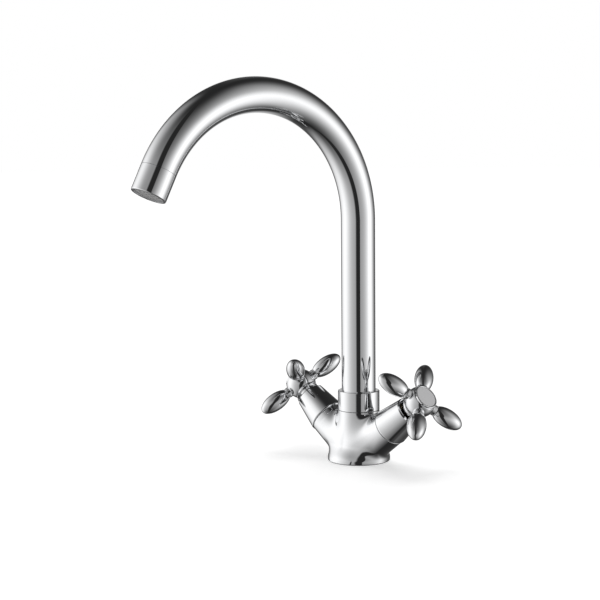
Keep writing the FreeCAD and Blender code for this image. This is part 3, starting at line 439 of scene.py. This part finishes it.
def body_distance(spots, sizes):
    """Distance of points from the cast body, whose two arms and core flow into each other."""
    height = spots[:, 2]
    step = 0.2 * MM
    slope = (core_radius(height + step, sizes) - core_radius(height - step, sizes)) / (2 * step)
    core = (np.hypot(spots[:, 0], spots[:, 1]) - core_radius(height, sizes)) / np.sqrt(1.0 + slope**2)
    flanks, tops, alongs = [], [], []
    for _, half_turn in SIDES:
        local = arm_matrix(sizes, half_turn).inverted()
        rotation = np.array(local.to_3x3())
        inside = spots @ rotation.T + np.array(local.translation)
        across = np.hypot(inside[:, 0], inside[:, 1])
        flanks.append(np.maximum(across - sizes.arm_radius, -inside[:, 2] - 1.0 * MM))
        tops.append(-inside[:, 0] / np.maximum(across, 1e-9))
        alongs.append(inside[:, 2])
    arms = soft_join(flanks[0], flanks[1], sizes.web_blend)
    hot_side = flanks[0] < flanks[1]
    top = np.where(hot_side, tops[0], tops[1])
    along = np.where(hot_side, alongs[0], alongs[1])
    reach = sizes.flank_blend
    reach = reach + (sizes.crotch_blend - sizes.flank_blend) * ease((top - 0.15) / 0.7)
    reach = reach + (sizes.under_blend - sizes.flank_blend) * ease((-top - 0.15) / 0.7)
    fade = ease((sizes.neck_top - 0.3 * MM - height) / (2.5 * MM)) * ease((sizes.arm_length - along) / (6.0 * MM))
    return soft_join(arms, core, np.maximum(reach * fade, 0.2 * MM))


def settle(bm, sizes, rounds=5):
    """Moves the points of a rough body on to its flowing form and evens them out."""
    for number in range(rounds):
        if number:
            bmesh.ops.smooth_vert(bm, verts=bm.verts[:], factor=0.5, use_axis_x=True, use_axis_y=True, use_axis_z=True)
        spots = np.array([vert.co[:] for vert in bm.verts])
        for _ in range(4):
            gap = body_distance(spots, sizes)
            slope = np.empty_like(spots)
            for axis in range(3):
                shift = np.zeros(3)
                shift[axis] = 0.02 * MM
                slope[:, axis] = body_distance(spots + shift, sizes) - body_distance(spots - shift, sizes)
            slope /= 0.04 * MM
            steep = np.maximum(np.sum(slope**2, axis=1), 0.05)
            spots -= slope * (np.clip(gap, -3 * MM, 3 * MM) / steep)[:, None]
        for vert, spot in zip(bm.verts, spots):
            vert.co = spot


def cut_off(bm, place, height, chosen):
    """Cuts what lies beyond a height of a local frame off and returns the rim that is left."""
    faces = [face for face in bm.faces if all(chosen(vert.co) for vert in face.verts)]
    edges = {edge for face in faces for edge in face.edges}
    verts = {vert for face in faces for vert in face.verts}
    normal = (place.to_3x3() @ Vector((0, 0, 1))).normalized()
    centre = place @ Vector((0, 0, height))
    bmesh.ops.bisect_plane(
        bm, geom=list(verts) + list(edges) + faces, dist=1e-7, plane_co=centre, plane_no=normal, clear_outer=True
    )
    rim = []
    for edge in bm.edges:
        if len(edge.link_faces) == 1 and all(abs((vert.co - centre).dot(normal)) < 1e-6 for vert in edge.verts):
            if all(chosen(vert.co) for vert in edge.verts):
                rim.append(edge)
    return rim


def step_rim(bm, rim, place, stations):
    """Draws a round rim on through (radius, height) stations of a local frame, in millimetres."""
    back = place.inverted()
    for radius, height in stations:
        made = bmesh.ops.extrude_edge_only(bm, edges=rim)["geom"]
        verts = [item for item in made if isinstance(item, bmesh.types.BMVert)]
        fresh = set(verts)
        rim = [
            item for item in made if isinstance(item, bmesh.types.BMEdge) and all(vert in fresh for vert in item.verts)
        ]
        for vert in verts:
            spot = back @ vert.co
            scale = radius * MM / math.hypot(spot.x, spot.y)
            vert.co = place @ Vector((spot.x * scale, spot.y * scale, height * MM))
    return rim


def arc_stations(radius, height, rounding, outside=True, steps=5):
    """Stations of a rounding that runs from a side at a radius over to a face at a height."""
    turned = [math.pi / 2 * (index + 1) / steps for index in range(steps)]
    way = 1 if outside else -1
    return [
        (radius - rounding * (1 - math.cos(bend)), height - way * rounding * (1 - math.sin(bend))) for bend in turned
    ]


class FAUCET_OT_body(bpy.types.Operator):
    """Make the cast body with its foot, neck and two valve arms."""

    bl_idname = "faucet.body"
    bl_label = "Body"

    def rough_body(self, sizes):
        """Core and arms as plain turned shapes, joined by a fine voxel remesh."""
        rough = bpy.data.meshes.new("rough_body")
        waist = sizes.waist_radius / MM
        foot = sizes.foot_radius / MM
        low, high = sizes.foot_height / MM, sizes.waist_height / MM
        bm = lathe([(0, -4), (foot, -4), (foot, low), (waist + 1, high), (waist, 30), (waist, 47), (0, 47)])
        for _, half_turn in SIDES:
            radius = sizes.arm_radius / MM
            arm = lathe([(0, 0), (radius, 0), (radius, sizes.arm_length / MM + 4), (0, sizes.arm_length / MM + 4)])
            arm.transform(arm_matrix(sizes, half_turn))
            arm.to_mesh(rough)
            arm.free()
            bm.from_mesh(rough)
        bm.to_mesh(rough)
        bm.free()
        item = bpy.data.objects.new("rough_body", rough)
        bpy.context.scene.collection.objects.link(item)
        fuse = item.modifiers.new("fuse", "REMESH")
        fuse.mode = "VOXEL"
        fuse.voxel_size = 0.65 * MM
        bpy.context.view_layer.update()
        fused = bpy.data.meshes.new_from_object(item.evaluated_get(bpy.context.evaluated_depsgraph_get()))
        bm = bmesh.new()
        bm.from_mesh(fused)
        bpy.data.objects.remove(item)
        bpy.data.meshes.remove(rough)
        bpy.data.meshes.remove(fused)
        return bm

    def execute(self, context):
        sizes = context.scene.faucet_sizes
        bm = self.rough_body(sizes)
        settle(bm, sizes)
        upright = Matrix.Identity(4)
        upturned = Matrix.Rotation(math.pi, 4, "X")
        foot = sizes.foot_radius / MM
        rim = cut_off(bm, upturned, -1.0 * MM, lambda spot: spot.z < 3 * MM)
        rim = step_rim(
            bm,
            rim,
            upright,
            [
                *arc_stations(foot, 0.0, 1.0, outside=False),
                (GROOVE_OUTER, 0),
                (GROOVE_OUTER, GROOVE_DEPTH),
                (GROOVE_INNER, GROOVE_DEPTH),
                (GROOVE_INNER, 0),
            ],
        )
        self.drill_underside(bm, rim)
        neck = sizes.neck_radius / MM
        top = sizes.neck_top / MM
        rim = cut_off(
            bm,
            upright,
            sizes.neck_top - SEAM_ROUND * MM,
            lambda spot: spot.z > 34 * MM and math.hypot(spot.x, spot.y) < 21 * MM,
        )
        rim = step_rim(
            bm,
            rim,
            upright,
            [
                *arc_stations(neck, top, 0.4),
                (SPIGOT_RADIUS, top),
                (SPIGOT_RADIUS, SPIGOT_TOP),
                (SOCKET_RADIUS, SPIGOT_TOP),
                (SOCKET_RADIUS, SOCKET_FLOOR),
                (CHAMBER_RADIUS, SOCKET_FLOOR),
                (CHAMBER_RADIUS, CHAMBER_FLOOR),
            ],
        )
        bmesh.ops.edgeloop_fill(bm, edges=rim)
        arm = sizes.arm_radius / MM
        end = sizes.arm_length / MM
        for _, half_turn in SIDES:
            place = arm_matrix(sizes, half_turn)
            back = place.inverted()
            rim = cut_off(
                bm,
                place,
                sizes.arm_length - SEAM_ROUND * MM,
                lambda spot, back=back: (back @ spot).z > 38 * MM and (back @ spot).xy.length < 20 * MM,
            )
            rim = step_rim(
                bm,
                rim,
                place,
                [
                    *arc_stations(arm, end, SEAM_ROUND),
                    (BOSS_RADIUS, end),
                    (BOSS_RADIUS, end + BOSS_LENGTH),
                    (POCKET_RADIUS, end + BOSS_LENGTH),
                    (POCKET_RADIUS, POCKET_FLOOR),
                ],
            )
            bmesh.ops.edgeloop_fill(bm, edges=rim)
        bmesh.ops.recalc_face_normals(bm, faces=bm.faces[:])
        finish = context.scene.faucet_finish
        piece(bm, "body_casting", "mixer_body", chrome(finish), ["body"], crease=40.0, weighted=False)
        return {"FINISHED"}

    def drill_underside(self, bm, rim):
        """Closes the underside round its three tapped holes."""
        edges = list(rim)
        for across, along, radius, depth in TAPPED_HOLES:
            centre = Matrix.Translation((across * MM, along * MM, 0))
            ring = bmesh.ops.create_circle(bm, cap_ends=False, segments=40, radius=radius * MM, matrix=centre)
            loop = list({edge for vert in ring["verts"] for edge in vert.link_edges})
            edges += loop
            last = step_rim(bm, loop, centre, [(radius, depth)])
            bmesh.ops.edgeloop_fill(bm, edges=last)
        bmesh.ops.triangle_fill(bm, use_beauty=True, edges=edges)


class FAUCET_OT_collar(bpy.types.Operator):
    """Make the collar that holds the spout on the body."""

    bl_idname = "faucet.collar"
    bl_label = "Collar"

    def execute(self, context):
        sizes = context.scene.faucet_sizes
        outer = sizes.neck_radius / MM
        bore = sizes.tube_radius / MM + 0.05
        low = (sizes.neck_top + sizes.seam) / MM
        high = (sizes.neck_top + sizes.collar_height) / MM
        bm = lathe(
            [
                (bore + 1.3, low),
                (outer, low, 0.45),
                (outer, high, 0.8),
                (bore, high, 0.2),
                (bore, 53.9),
                (bore + 1.3, 53.9),
            ],
            closed=True,
            segments=128,
        )
        finish = context.scene.faucet_finish
        piece(bm, "collar_nut", "mixer_body", chrome(finish), ["collar"])
        return {"FINISHED"}


class FAUCET_OT_spout(bpy.types.Operator):
    """Make the gooseneck tube and the outlet sleeve."""

    bl_idname = "faucet.spout"
    bl_label = "Spout"

    def execute(self, context):
        sizes = context.scene.faucet_sizes
        finish = context.scene.faucet_finish
        bm = bmesh.new()
        bmesh.ops.create_circle(bm, cap_ends=False, segments=96, radius=sizes.tube_radius)
        bmesh.ops.translate(bm, verts=bm.verts[:], vec=(0, 0, sizes.tube_start))
        leg = bmesh.ops.extrude_edge_only(bm, edges=bm.edges[:])["geom"]
        rim = [item for item in leg if isinstance(item, bmesh.types.BMVert)]
        bmesh.ops.translate(bm, verts=rim, vec=(0, 0, sizes.tube_rise - sizes.tube_start))
        top = set(rim)
        ring = [edge for edge in bm.edges if edge.verts[0] in top and edge.verts[1] in top]
        bow = bmesh.ops.spin(
            bm,
            geom=rim + ring,
            cent=(0, -sizes.arch_radius, sizes.tube_rise),
            axis=(1, 0, 0),
            angle=sizes.arch_angle,
            steps=128,
        )
        ahead = Vector((0, -math.sin(sizes.arch_angle), math.cos(sizes.arch_angle)))
        mouth = [item for item in bow["geom_last"] if isinstance(item, bmesh.types.BMEdge)]
        tail = bmesh.ops.extrude_edge_only(bm, edges=mouth)["geom"]
        end = [item for item in tail if isinstance(item, bmesh.types.BMVert)]
        bmesh.ops.translate(bm, verts=end, vec=ahead * sizes.arch_tail)
        bmesh.ops.remove_doubles(bm, verts=bm.verts[:], dist=0.0005 * MM)
        bmesh.ops.recalc_face_normals(bm, faces=bm.faces[:])
        bmesh.ops.solidify(bm, geom=bm.faces[:], thickness=sizes.tube_wall)
        bm.transform(spout_matrix(sizes))
        piece(bm, "spout_gooseneck", "spout", chrome(finish), ["spout_tube"])
        outer = sizes.tube_radius / MM
        plug = outer - sizes.tube_wall / MM - 0.2
        bore = outer - 1.8
        seam = sizes.seam / MM
        mouth_end = sizes.outlet_length / MM
        sleeve = lathe(
            [
                (bore - 2.2, -5.0),
                (plug, -5.0),
                (plug, seam),
                (outer, seam, 0.1),
                (outer, mouth_end, 0.7),
                (bore, mouth_end, 0.15),
                (bore, 4.5),
                (bore - 2.2, 4.5),
            ],
            closed=True,
            segments=128,
        )
        sleeve.transform(outlet_matrix(sizes))
        piece(sleeve, "outlet_mouthpiece", "spout", chrome(finish), ["outlet_sleeve"])
        return {"FINISHED"}


class FAUCET_OT_shrouds(bpy.types.Operator):
    """Make the tapered shroud of each valve arm."""

    bl_idname = "faucet.shrouds"
    bl_label = "Shrouds"

    def execute(self, context):
        sizes = context.scene.faucet_sizes
        finish = context.scene.faucet_finish
        shoulder = sizes.arm_length / MM
        low = shoulder + sizes.seam / MM
        high = shoulder + sizes.shroud_length / MM
        foot = sizes.shroud_foot / MM
        head = sizes.shroud_head / MM
        step = shoulder + 5.8
        lead = step + 0.9
        slope = (foot - head) / (sizes.shroud_length / MM)
        for side, half_turn in SIDES:
            bm = lathe(
                [
                    (12.65, low),
                    (foot, low, 1.6),
                    (head, high - 0.9, 0.25),
                    (head - 0.9, high, 0.2),
                    (10.4, high, 0.1),
                    (10.4, high - 1.8),
                    (foot - slope * (lead - shoulder) - 1.8, lead),
                    (12.65, step),
                ],
                closed=True,
                segments=128,
            )
            bm.transform(arm_matrix(sizes, half_turn))
            piece(bm, side + "_shroud_cone", "mixer_body", chrome(finish), [side + "_shroud"])
        return {"FINISHED"}


class FAUCET_OT_hubs(bpy.types.Operator):
    """Make the ball shaped hub of each cross handle."""

    bl_idname = "faucet.hubs"
    bl_label = "Hubs"

    def execute(self, context):
        sizes = context.scene.faucet_sizes
        finish = context.scene.faucet_finish
        ball = sizes.ball_radius / MM
        cross = (sizes.arm_length + sizes.cross_plane) / MM
        front, back = cross + HUB_FRONT, cross - HUB_BACK
        face = math.sqrt(ball**2 - HUB_FRONT**2)
        tail = math.sqrt(ball**2 - HUB_BACK**2)
        bow = math.degrees(math.atan2(HUB_FRONT, face) + math.atan2(HUB_BACK, tail))
        for side, half_turn in SIDES:
            bm = lathe(
                [
                    (4.03, back - 7.4),
                    (8.4, back - 7.4),
                    (8.4, back - 1.9),
                    (10.0, back - 1.9, 0.25),
                    (10.0, back - 0.5, 0.25),
                    (9.0, back - 0.5),
                    (9.0, back),
                    (tail, back),
                    ("arc", 0, cross, bow, 48),
                    (8.53, front),
                    (8.53, front - 2.0),
                    (4.15, front - 2.0),
                    (4.15, front - 4.4),
                    (2.15, front - 4.4),
                    (2.15, cross - 1.6),
                    (4.03, cross - 1.6),
                ],
                closed=True,
                segments=128,
            )
            bm.transform(arm_matrix(sizes, half_turn))
            piece(bm, side + "_hub_ball", side + "_handle", chrome(finish), [side + "_hub"])
        return {"FINISHED"}


class FAUCET_OT_petals(bpy.types.Operator):
    """Make the four egg shaped arms of each cross handle."""

    bl_idname = "faucet.petals"
    bl_label = "Petals"

    def execute(self, context):
        sizes = context.scene.faucet_sizes
        finish = context.scene.faucet_finish
        cross = sizes.arm_length + sizes.cross_plane
        middle = sizes.petal_centre / MM
        long_half = sizes.petal_half_length / MM
        start = PETAL_START
        seat = math.sqrt((sizes.ball_radius / MM) ** 2 - FERRULE_RADIUS**2)
        drop = (start - middle) / long_half
        turn_by = 90.0 + math.degrees(math.asin(-drop))
        for side, half_turn in SIDES:
            for number in range(PETALS):
                egg = bmesh.new()
                trace(egg, [(0.0, middle + long_half), ("arc", 0, middle, -turn_by, 48)])
                stretch = Matrix.Translation((0, 0, middle * MM))
                bmesh.ops.scale(
                    egg,
                    vec=(1 / long_half, 1, 1),
                    space=stretch.inverted(),
                    verts=egg.verts[:],
                )
                rim = min(egg.verts, key=lambda vert: vert.co.z)
                waist = egg.verts.new((FERRULE_WAIST * MM / 7.6, 0, start * MM))
                egg.edges.new((rim, waist))
                bmesh.ops.spin(
                    egg,
                    geom=egg.verts[:] + egg.edges[:],
                    cent=(0, 0, 0),
                    axis=(0, 0, 1),
                    angle=FULL_TURN,
                    steps=96,
                    use_merge=True,
                )
                bmesh.ops.scale(
                    egg,
                    vec=(sizes.petal_half_thick / MM, sizes.petal_half_width / MM, 1),
                    verts=egg.verts[:],
                )
                stem = lathe(
                    [
                        (0, 8.8),
                        (2.5, 8.8),
                        (2.5, seat),
                        (FERRULE_RADIUS, seat, 0.1),
                        (FERRULE_RADIUS, 14.5, 0.3),
                        (FERRULE_WAIST, 14.5),
                        (FERRULE_WAIST, start + 0.6),
                        (0, start + 0.6),
                    ]
                )
                joined = bpy.data.meshes.new("petal_stem")
                stem.to_mesh(joined)
                stem.free()
                egg.from_mesh(joined)
                bpy.data.meshes.remove(joined)
                bmesh.ops.remove_doubles(egg, verts=egg.verts[:], dist=0.0005 * MM)
                bmesh.ops.recalc_face_normals(egg, faces=egg.faces[:])
                out = Matrix.Translation((0, 0, cross))
                out = out @ Matrix.Rotation(sizes.cross_turn + number * FULL_TURN / PETALS, 4, "Z")
                egg.transform(arm_matrix(sizes, half_turn) @ out @ Matrix.Rotation(math.pi / 2, 4, "Y"))
                label = f"{side}_petal_{number + 1}"
                piece(egg, label + "_egg", side + "_handle", chrome(finish), [label])
        return {"FINISHED"}


class FAUCET_OT_caps(bpy.types.Operator):
    """Make the cap of each hub with its index disc."""

    bl_idname = "faucet.caps"
    bl_label = "Caps"

    def execute(self, context):
        sizes = context.scene.faucet_sizes
        finish = context.scene.faucet_finish
        cap = sizes.cap_radius / MM
        disc = cap - CAP_RIM - 0.03
        front = (sizes.arm_length + sizes.cross_plane) / MM + HUB_FRONT
        for side, half_turn in SIDES:
            place = arm_matrix(sizes, half_turn)
            bm = lathe(
                [
                    (0, front),
                    (7.0, front),
                    (7.0, front - 1.97),
                    (8.5, front - 1.97),
                    (8.5, front),
                    (cap, front),
                    (cap, front + CAP_THICK, 0.7),
                    (cap - CAP_RIM, front + CAP_THICK, 0.65),
                    (cap - CAP_RIM, front + CAP_FLOOR),
                    (0, front + CAP_FLOOR),
                ],
                segments=128,
            )
            bm.transform(place)
            piece(bm, side + "_cap_rim", side + "_handle", chrome(finish), [side + "_cap"])
            bm = lathe(
                [
                    (0, front + CAP_FLOOR),
                    (disc, front + CAP_FLOOR),
                    (disc, front + 1.62, 0.3),
                    (0, front + 1.75),
                ],
                segments=128,
            )
            bm.transform(place)
            satin = inner_finishes(finish)["satin_index"]
            piece(bm, side + "_index_plate", side + "_handle", satin, [side + "_index_disc"])
        return {"FINISHED"}


class FAUCET_OT_inner_pieces(bpy.types.Operator):
    """Give every frame node that stays its own finish."""

    bl_idname = "faucet.inner_pieces"
    bl_label = "Inner Pieces"

    def execute(self, context):
        finishes = inner_finishes(context.scene.faucet_finish)
        slots = {entry["node"]: entry["material_slot"] for entry in frame["record"]["subparts"]}
        for name, node in frame["nodes"].items():
            if name not in slots:
                raise RuntimeError(f"{name} has no material slot")
            node.data.materials.clear()
            node.data.materials.append(finishes[slots[name]])
        return {"FINISHED"}


def math_node(tree, operation, first, second=None, third=None):
    """A Math node whose inputs are sockets or numbers."""
    node = add_node(tree, "ShaderNodeMath", operation=operation)
    for index, value in enumerate((first, second, third)):
        if value is None:
            continue
        if isinstance(value, bpy.types.NodeSocket):
            tree.links.new(value, node.inputs[index])
        else:
            node.inputs[index].default_value = value
    return node.outputs[0]


def smooth_step(tree, value, low, high):
    """Rises smoothly from 0 at low to 1 at high."""
    node = add_node(tree, "ShaderNodeMapRange", interpolation_type="SMOOTHSTEP")
    tree.links.new(value, node.inputs["Value"])
    for name, edge in (("From Min", low), ("From Max", high)):
        if isinstance(edge, bpy.types.NodeSocket):
            tree.links.new(edge, node.inputs[name])
        else:
            node.inputs[name].default_value = edge
    return node.outputs["Result"]


def falloff(tree, value, points, low, high):
    """A soft curve through a few (place, level) points."""
    span = add_node(tree, "ShaderNodeMapRange")
    tree.links.new(value, span.inputs["Value"])
    span.inputs["From Min"].default_value = low
    span.inputs["From Max"].default_value = high
    ramp = add_node(tree, "ShaderNodeValToRGB")
    ramp.color_ramp.interpolation = "B_SPLINE"
    stops = ramp.color_ramp.elements
    while len(stops) < len(points):
        stops.new(0.5)
    for stop, (place, level) in zip(stops, points):
        stop.position = (place - low) / (high - low)
        stop.color = (level, level, level, 1.0)
    tree.links.new(span.outputs["Result"], ramp.inputs["Fac"])
    return ramp.outputs["Color"]


class FAUCET_OT_stage(bpy.types.Operator):
    """Make the floor, the light boxes, the lamp and the camera."""

    bl_idname = "faucet.stage"
    bl_label = "Stage"

    def execute(self, context):
        studio = context.scene.faucet_studio
        self.make_world(context, studio)
        self.make_floor(context, studio)
        self.make_light_tent(context, studio)
        self.make_lamp(context, studio)
        self.make_camera(context, studio)
        context.scene.view_settings.view_transform = "Standard"
        return {"FINISHED"}

    def shown_ray(self, tree):
        """1 for the rays that show the background: camera, glossy and transmission."""
        path = add_node(tree, "ShaderNodeLightPath")
        shown = math_node(tree, "MAXIMUM", path.outputs["Is Camera Ray"], path.outputs["Is Glossy Ray"])
        return math_node(tree, "MAXIMUM", shown, path.outputs["Is Transmission Ray"])

    def make_world(self, context, studio):
        world = bpy.data.worlds.new("studio_world")
        world.use_nodes = True
        context.scene.world = world
        tree = world.node_tree
        tree.nodes.clear()
        out = add_node(tree, "ShaderNodeOutputWorld")
        light = add_node(tree, "ShaderNodeBackground")
        light.inputs["Color"].default_value = (1, 1, 1, 1)
        level = add_node(tree, "ShaderNodeMapRange")
        level.inputs["To Min"].default_value = studio.sky_level
        level.inputs["To Max"].default_value = 1.0
        tree.links.new(self.shown_ray(tree), level.inputs["Value"])
        tree.links.new(level.outputs["Result"], light.inputs["Strength"])
        tree.links.new(light.outputs["Background"], out.inputs["Surface"])

    def make_floor(self, context, studio):
        bm = bmesh.new()
        bmesh.ops.create_circle(bm, cap_ends=True, segments=64, radius=7.0)
        mesh = bpy.data.meshes.new("studio_floor")
        bm.to_mesh(mesh)
        bm.free()
        floor = bpy.data.objects.new("studio_floor", mesh)
        context.scene.collection.objects.link(floor)
        floor.visible_glossy = False
        finish, tree, shader = base_material("floor_paper")
        shader.inputs["Base Color"].default_value = (*studio.floor, 1.0)
        shader.inputs["Roughness"].default_value = 0.9
        shader.inputs["Specular IOR Level"].default_value = 0.0
        shader.inputs["Emission Color"].default_value = (1, 1, 1, 1)
        lift = math_node(tree, "MULTIPLY", self.shown_ray(tree), 0.45)
        tree.links.new(lift, shader.inputs["Emission Strength"])
        mesh.materials.append(finish)

    def make_light_tent(self, context, studio):
        """A large tent round the object, seen only by the chrome: two wide light boxes with soft
        ends, a weak narrow one behind, a dark gap at the camera and a dark top."""
        bm = bmesh.new()
        bmesh.ops.create_uvsphere(bm, u_segments=64, v_segments=32, radius=8.0)
        bmesh.ops.reverse_faces(bm, faces=bm.faces[:])
        mesh = bpy.data.meshes.new("light_tent")
        bm.to_mesh(mesh)
        bm.free()
        tent = bpy.data.objects.new("light_tent", mesh)
        context.scene.collection.objects.link(tent)
        tent.visible_camera = False
        tent.visible_diffuse = False
        tent.visible_shadow = False
        tent.visible_volume_scatter = False
        finish = bpy.data.materials.new("light_tent_cloth")
        finish.use_nodes = True
        finish.cycles.emission_sampling = "NONE"
        tree = finish.node_tree
        tree.nodes.clear()
        out = add_node(tree, "ShaderNodeOutputMaterial")
        glow = add_node(tree, "ShaderNodeEmission")
        tree.links.new(glow.outputs["Emission"], out.inputs["Surface"])
        place = add_node(tree, "ShaderNodeTexCoord")
        aim = add_node(tree, "ShaderNodeMapping", vector_type="POINT")
        aim.inputs["Rotation"].default_value = (0, 0, math.radians(CAMERA_AZIMUTH))
        tree.links.new(place.outputs["Object"], aim.inputs["Vector"])
        unit = add_node(tree, "ShaderNodeVectorMath", operation="NORMALIZE")
        tree.links.new(aim.outputs["Vector"], unit.inputs[0])
        parts = add_node(tree, "ShaderNodeSeparateXYZ")
        tree.links.new(unit.outputs["Vector"], parts.inputs["Vector"])
        degree = math.degrees(1.0)
        azimuth = math_node(
            tree, "MULTIPLY", math_node(tree, "ARCTAN2", parts.outputs["Y"], parts.outputs["X"]), degree
        )
        height = math_node(tree, "MULTIPLY", math_node(tree, "ARCSINE", parts.outputs["Z"]), degree)
        self.light_boxes(tree, azimuth, height, glow, studio)
        mesh.materials.append(finish)

    def light_boxes(self, tree, azimuth, height, glow, studio):
        """Brightness of the tent by direction, in degrees right of the camera and above the horizon."""
        raised = smooth_step(tree, height, -8.0, 18.0)
        left_edge = math_node(tree, "MULTIPLY_ADD", raised, 7.0, -20.0)
        left_end = math_node(tree, "ADD", left_edge, 10.0)
        left_side = math_node(tree, "SUBTRACT", 1.0, smooth_step(tree, azimuth, left_edge, left_end))
        left_along = falloff(
            tree,
            azimuth,
            [(-158, 0.0), (-148, 0.1), (-132, 0.62), (-96, 1.0), (-62, 0.5), (-32, 0.31), (-10, 0.26)],
            -180,
            0,
        )
        left_up = falloff(
            tree,
            height,
            [(-82, 0.0), (-58, 0.35), (-35, 0.8), (0, 1.0), (26, 1.0), (44, 0.45), (62, 0.2), (76, 0.0)],
            -90,
            90,
        )
        left = math_node(tree, "MULTIPLY", math_node(tree, "MULTIPLY", left_side, left_along), left_up)
        right_edge = math_node(tree, "MULTIPLY_ADD", raised, 11.0, 11.0)
        right_end = math_node(tree, "ADD", right_edge, 3.0)
        right_side = smooth_step(tree, azimuth, right_edge, right_end)
        right_along = falloff(
            tree, azimuth, [(10, 0.23), (40, 0.33), (64, 0.62), (86, 1.1), (106, 0.62), (124, 0.22), (142, 0.0)], 0, 180
        )
        right_up = falloff(
            tree,
            height,
            [(-82, 0.0), (-58, 0.2), (-35, 0.55), (-10, 1.0), (4, 0.95), (22, 0.4), (45, 0.2), (68, 0.0)],
            -90,
            90,
        )
        right = math_node(tree, "MULTIPLY", math_node(tree, "MULTIPLY", right_side, right_along), right_up)
        turned_away = math_node(tree, "ABSOLUTE", azimuth)
        behind_along = falloff(tree, turned_away, [(166, 0.0), (173, 0.35), (180, 0.5)], 0, 180)
        behind_up = falloff(tree, height, [(-60, 0.0), (-35, 0.5), (-8, 1.0), (8, 0.9), (24, 0.0)], -90, 90)
        behind = math_node(tree, "MULTIPLY", behind_along, behind_up)
        total = math_node(tree, "ADD", math_node(tree, "ADD", left, right), behind)
        total = math_node(tree, "ADD", math_node(tree, "MULTIPLY", total, studio.box_level), 0.022)
        glow.inputs["Color"].default_value = (1, 1, 1, 1)
        tree.links.new(total, glow.inputs["Strength"])

    def make_lamp(self, context, studio):
        lamp = bpy.data.lights.new("soft_lamp", "SUN")
        lamp.energy = studio.lamp_level
        lamp.angle = math.radians(50.0)
        item = bpy.data.objects.new("soft_lamp", lamp)
        context.scene.collection.objects.link(item)
        turned = Matrix.Rotation(math.radians(-CAMERA_AZIMUTH), 4, "Z")
        item.matrix_world = turned @ Matrix.Rotation(math.radians(-25.0), 4, "Y")
        item.visible_glossy = False

    def make_camera(self, context, studio):
        forward = Vector((-0.0360, 0.9928, -0.1145)).normalized()
        across = forward.cross(Vector((0, 0, 1))).normalized()
        up = across.cross(forward)
        roll = -0.0084
        right = across * math.cos(roll) + up * math.sin(roll)
        up = up * math.cos(roll) - across * math.sin(roll)
        turn_matrix = Matrix.Rotation(math.radians(90.0 - CAMERA_AZIMUTH), 3, "Z")
        axes = [turn_matrix @ axis for axis in (right, up, -forward)]
        lens = bpy.data.cameras.new("photo_camera")
        lens.lens = studio.lens
        lens.sensor_width = 36.0
        lens.clip_start = 0.05
        lens.clip_end = 50.0
        camera = bpy.data.objects.new("photo_camera", lens)
        context.scene.collection.objects.link(camera)
        place = Matrix(axes).transposed().to_4x4()
        place.translation = (0.8866, -0.9775, 0.2857)
        camera.matrix_world = place
        context.scene.camera = camera


class FAUCET_PT_panel(bpy.types.Panel):
    """Lists the steps that make the faucet."""

    bl_idname = "FAUCET_PT_panel"
    bl_label = "Kitchen Faucet"
    bl_space_type = "VIEW_3D"
    bl_region_type = "UI"
    bl_category = "Faucet"

    def draw(self, context):
        column = self.layout.column()
        for step in STEPS:
            column.operator(step.bl_idname)
        for group in (context.scene.faucet_sizes, context.scene.faucet_finish, context.scene.faucet_studio):
            box = self.layout.box()
            for name in group.bl_rna.properties.keys():
                if name not in {"rna_type", "name"}:
                    box.prop(group, name)


STEPS = (
    FAUCET_OT_stage,
    FAUCET_OT_inner_pieces,
    FAUCET_OT_body,
    FAUCET_OT_collar,
    FAUCET_OT_spout,
    FAUCET_OT_shrouds,
    FAUCET_OT_hubs,
    FAUCET_OT_petals,
    FAUCET_OT_caps,
)
GROUPS = (FaucetSizes, FaucetFinish, FaucetStudio)


def register():
    for kind in (*GROUPS, *STEPS, FAUCET_PT_panel):
        bpy.utils.register_class(kind)
    bpy.types.Scene.faucet_sizes = bpy.props.PointerProperty(type=FaucetSizes)
    bpy.types.Scene.faucet_finish = bpy.props.PointerProperty(type=FaucetFinish)
    bpy.types.Scene.faucet_studio = bpy.props.PointerProperty(type=FaucetStudio)


def unregister():
    del bpy.types.Scene.faucet_studio
    del bpy.types.Scene.faucet_finish
    del bpy.types.Scene.faucet_sizes
    for kind in reversed((*GROUPS, *STEPS, FAUCET_PT_panel)):
        bpy.utils.unregister_class(kind)


def main():
    register()
    for step in STEPS:
        name = step.bl_idname.split(".")[1]
        if getattr(bpy.ops.faucet, name)() != {"FINISHED"}:
            raise RuntimeError(f"{name} didn't finish")
    bpy.context.view_layer.update()


if __name__ == "__main__":
    main()
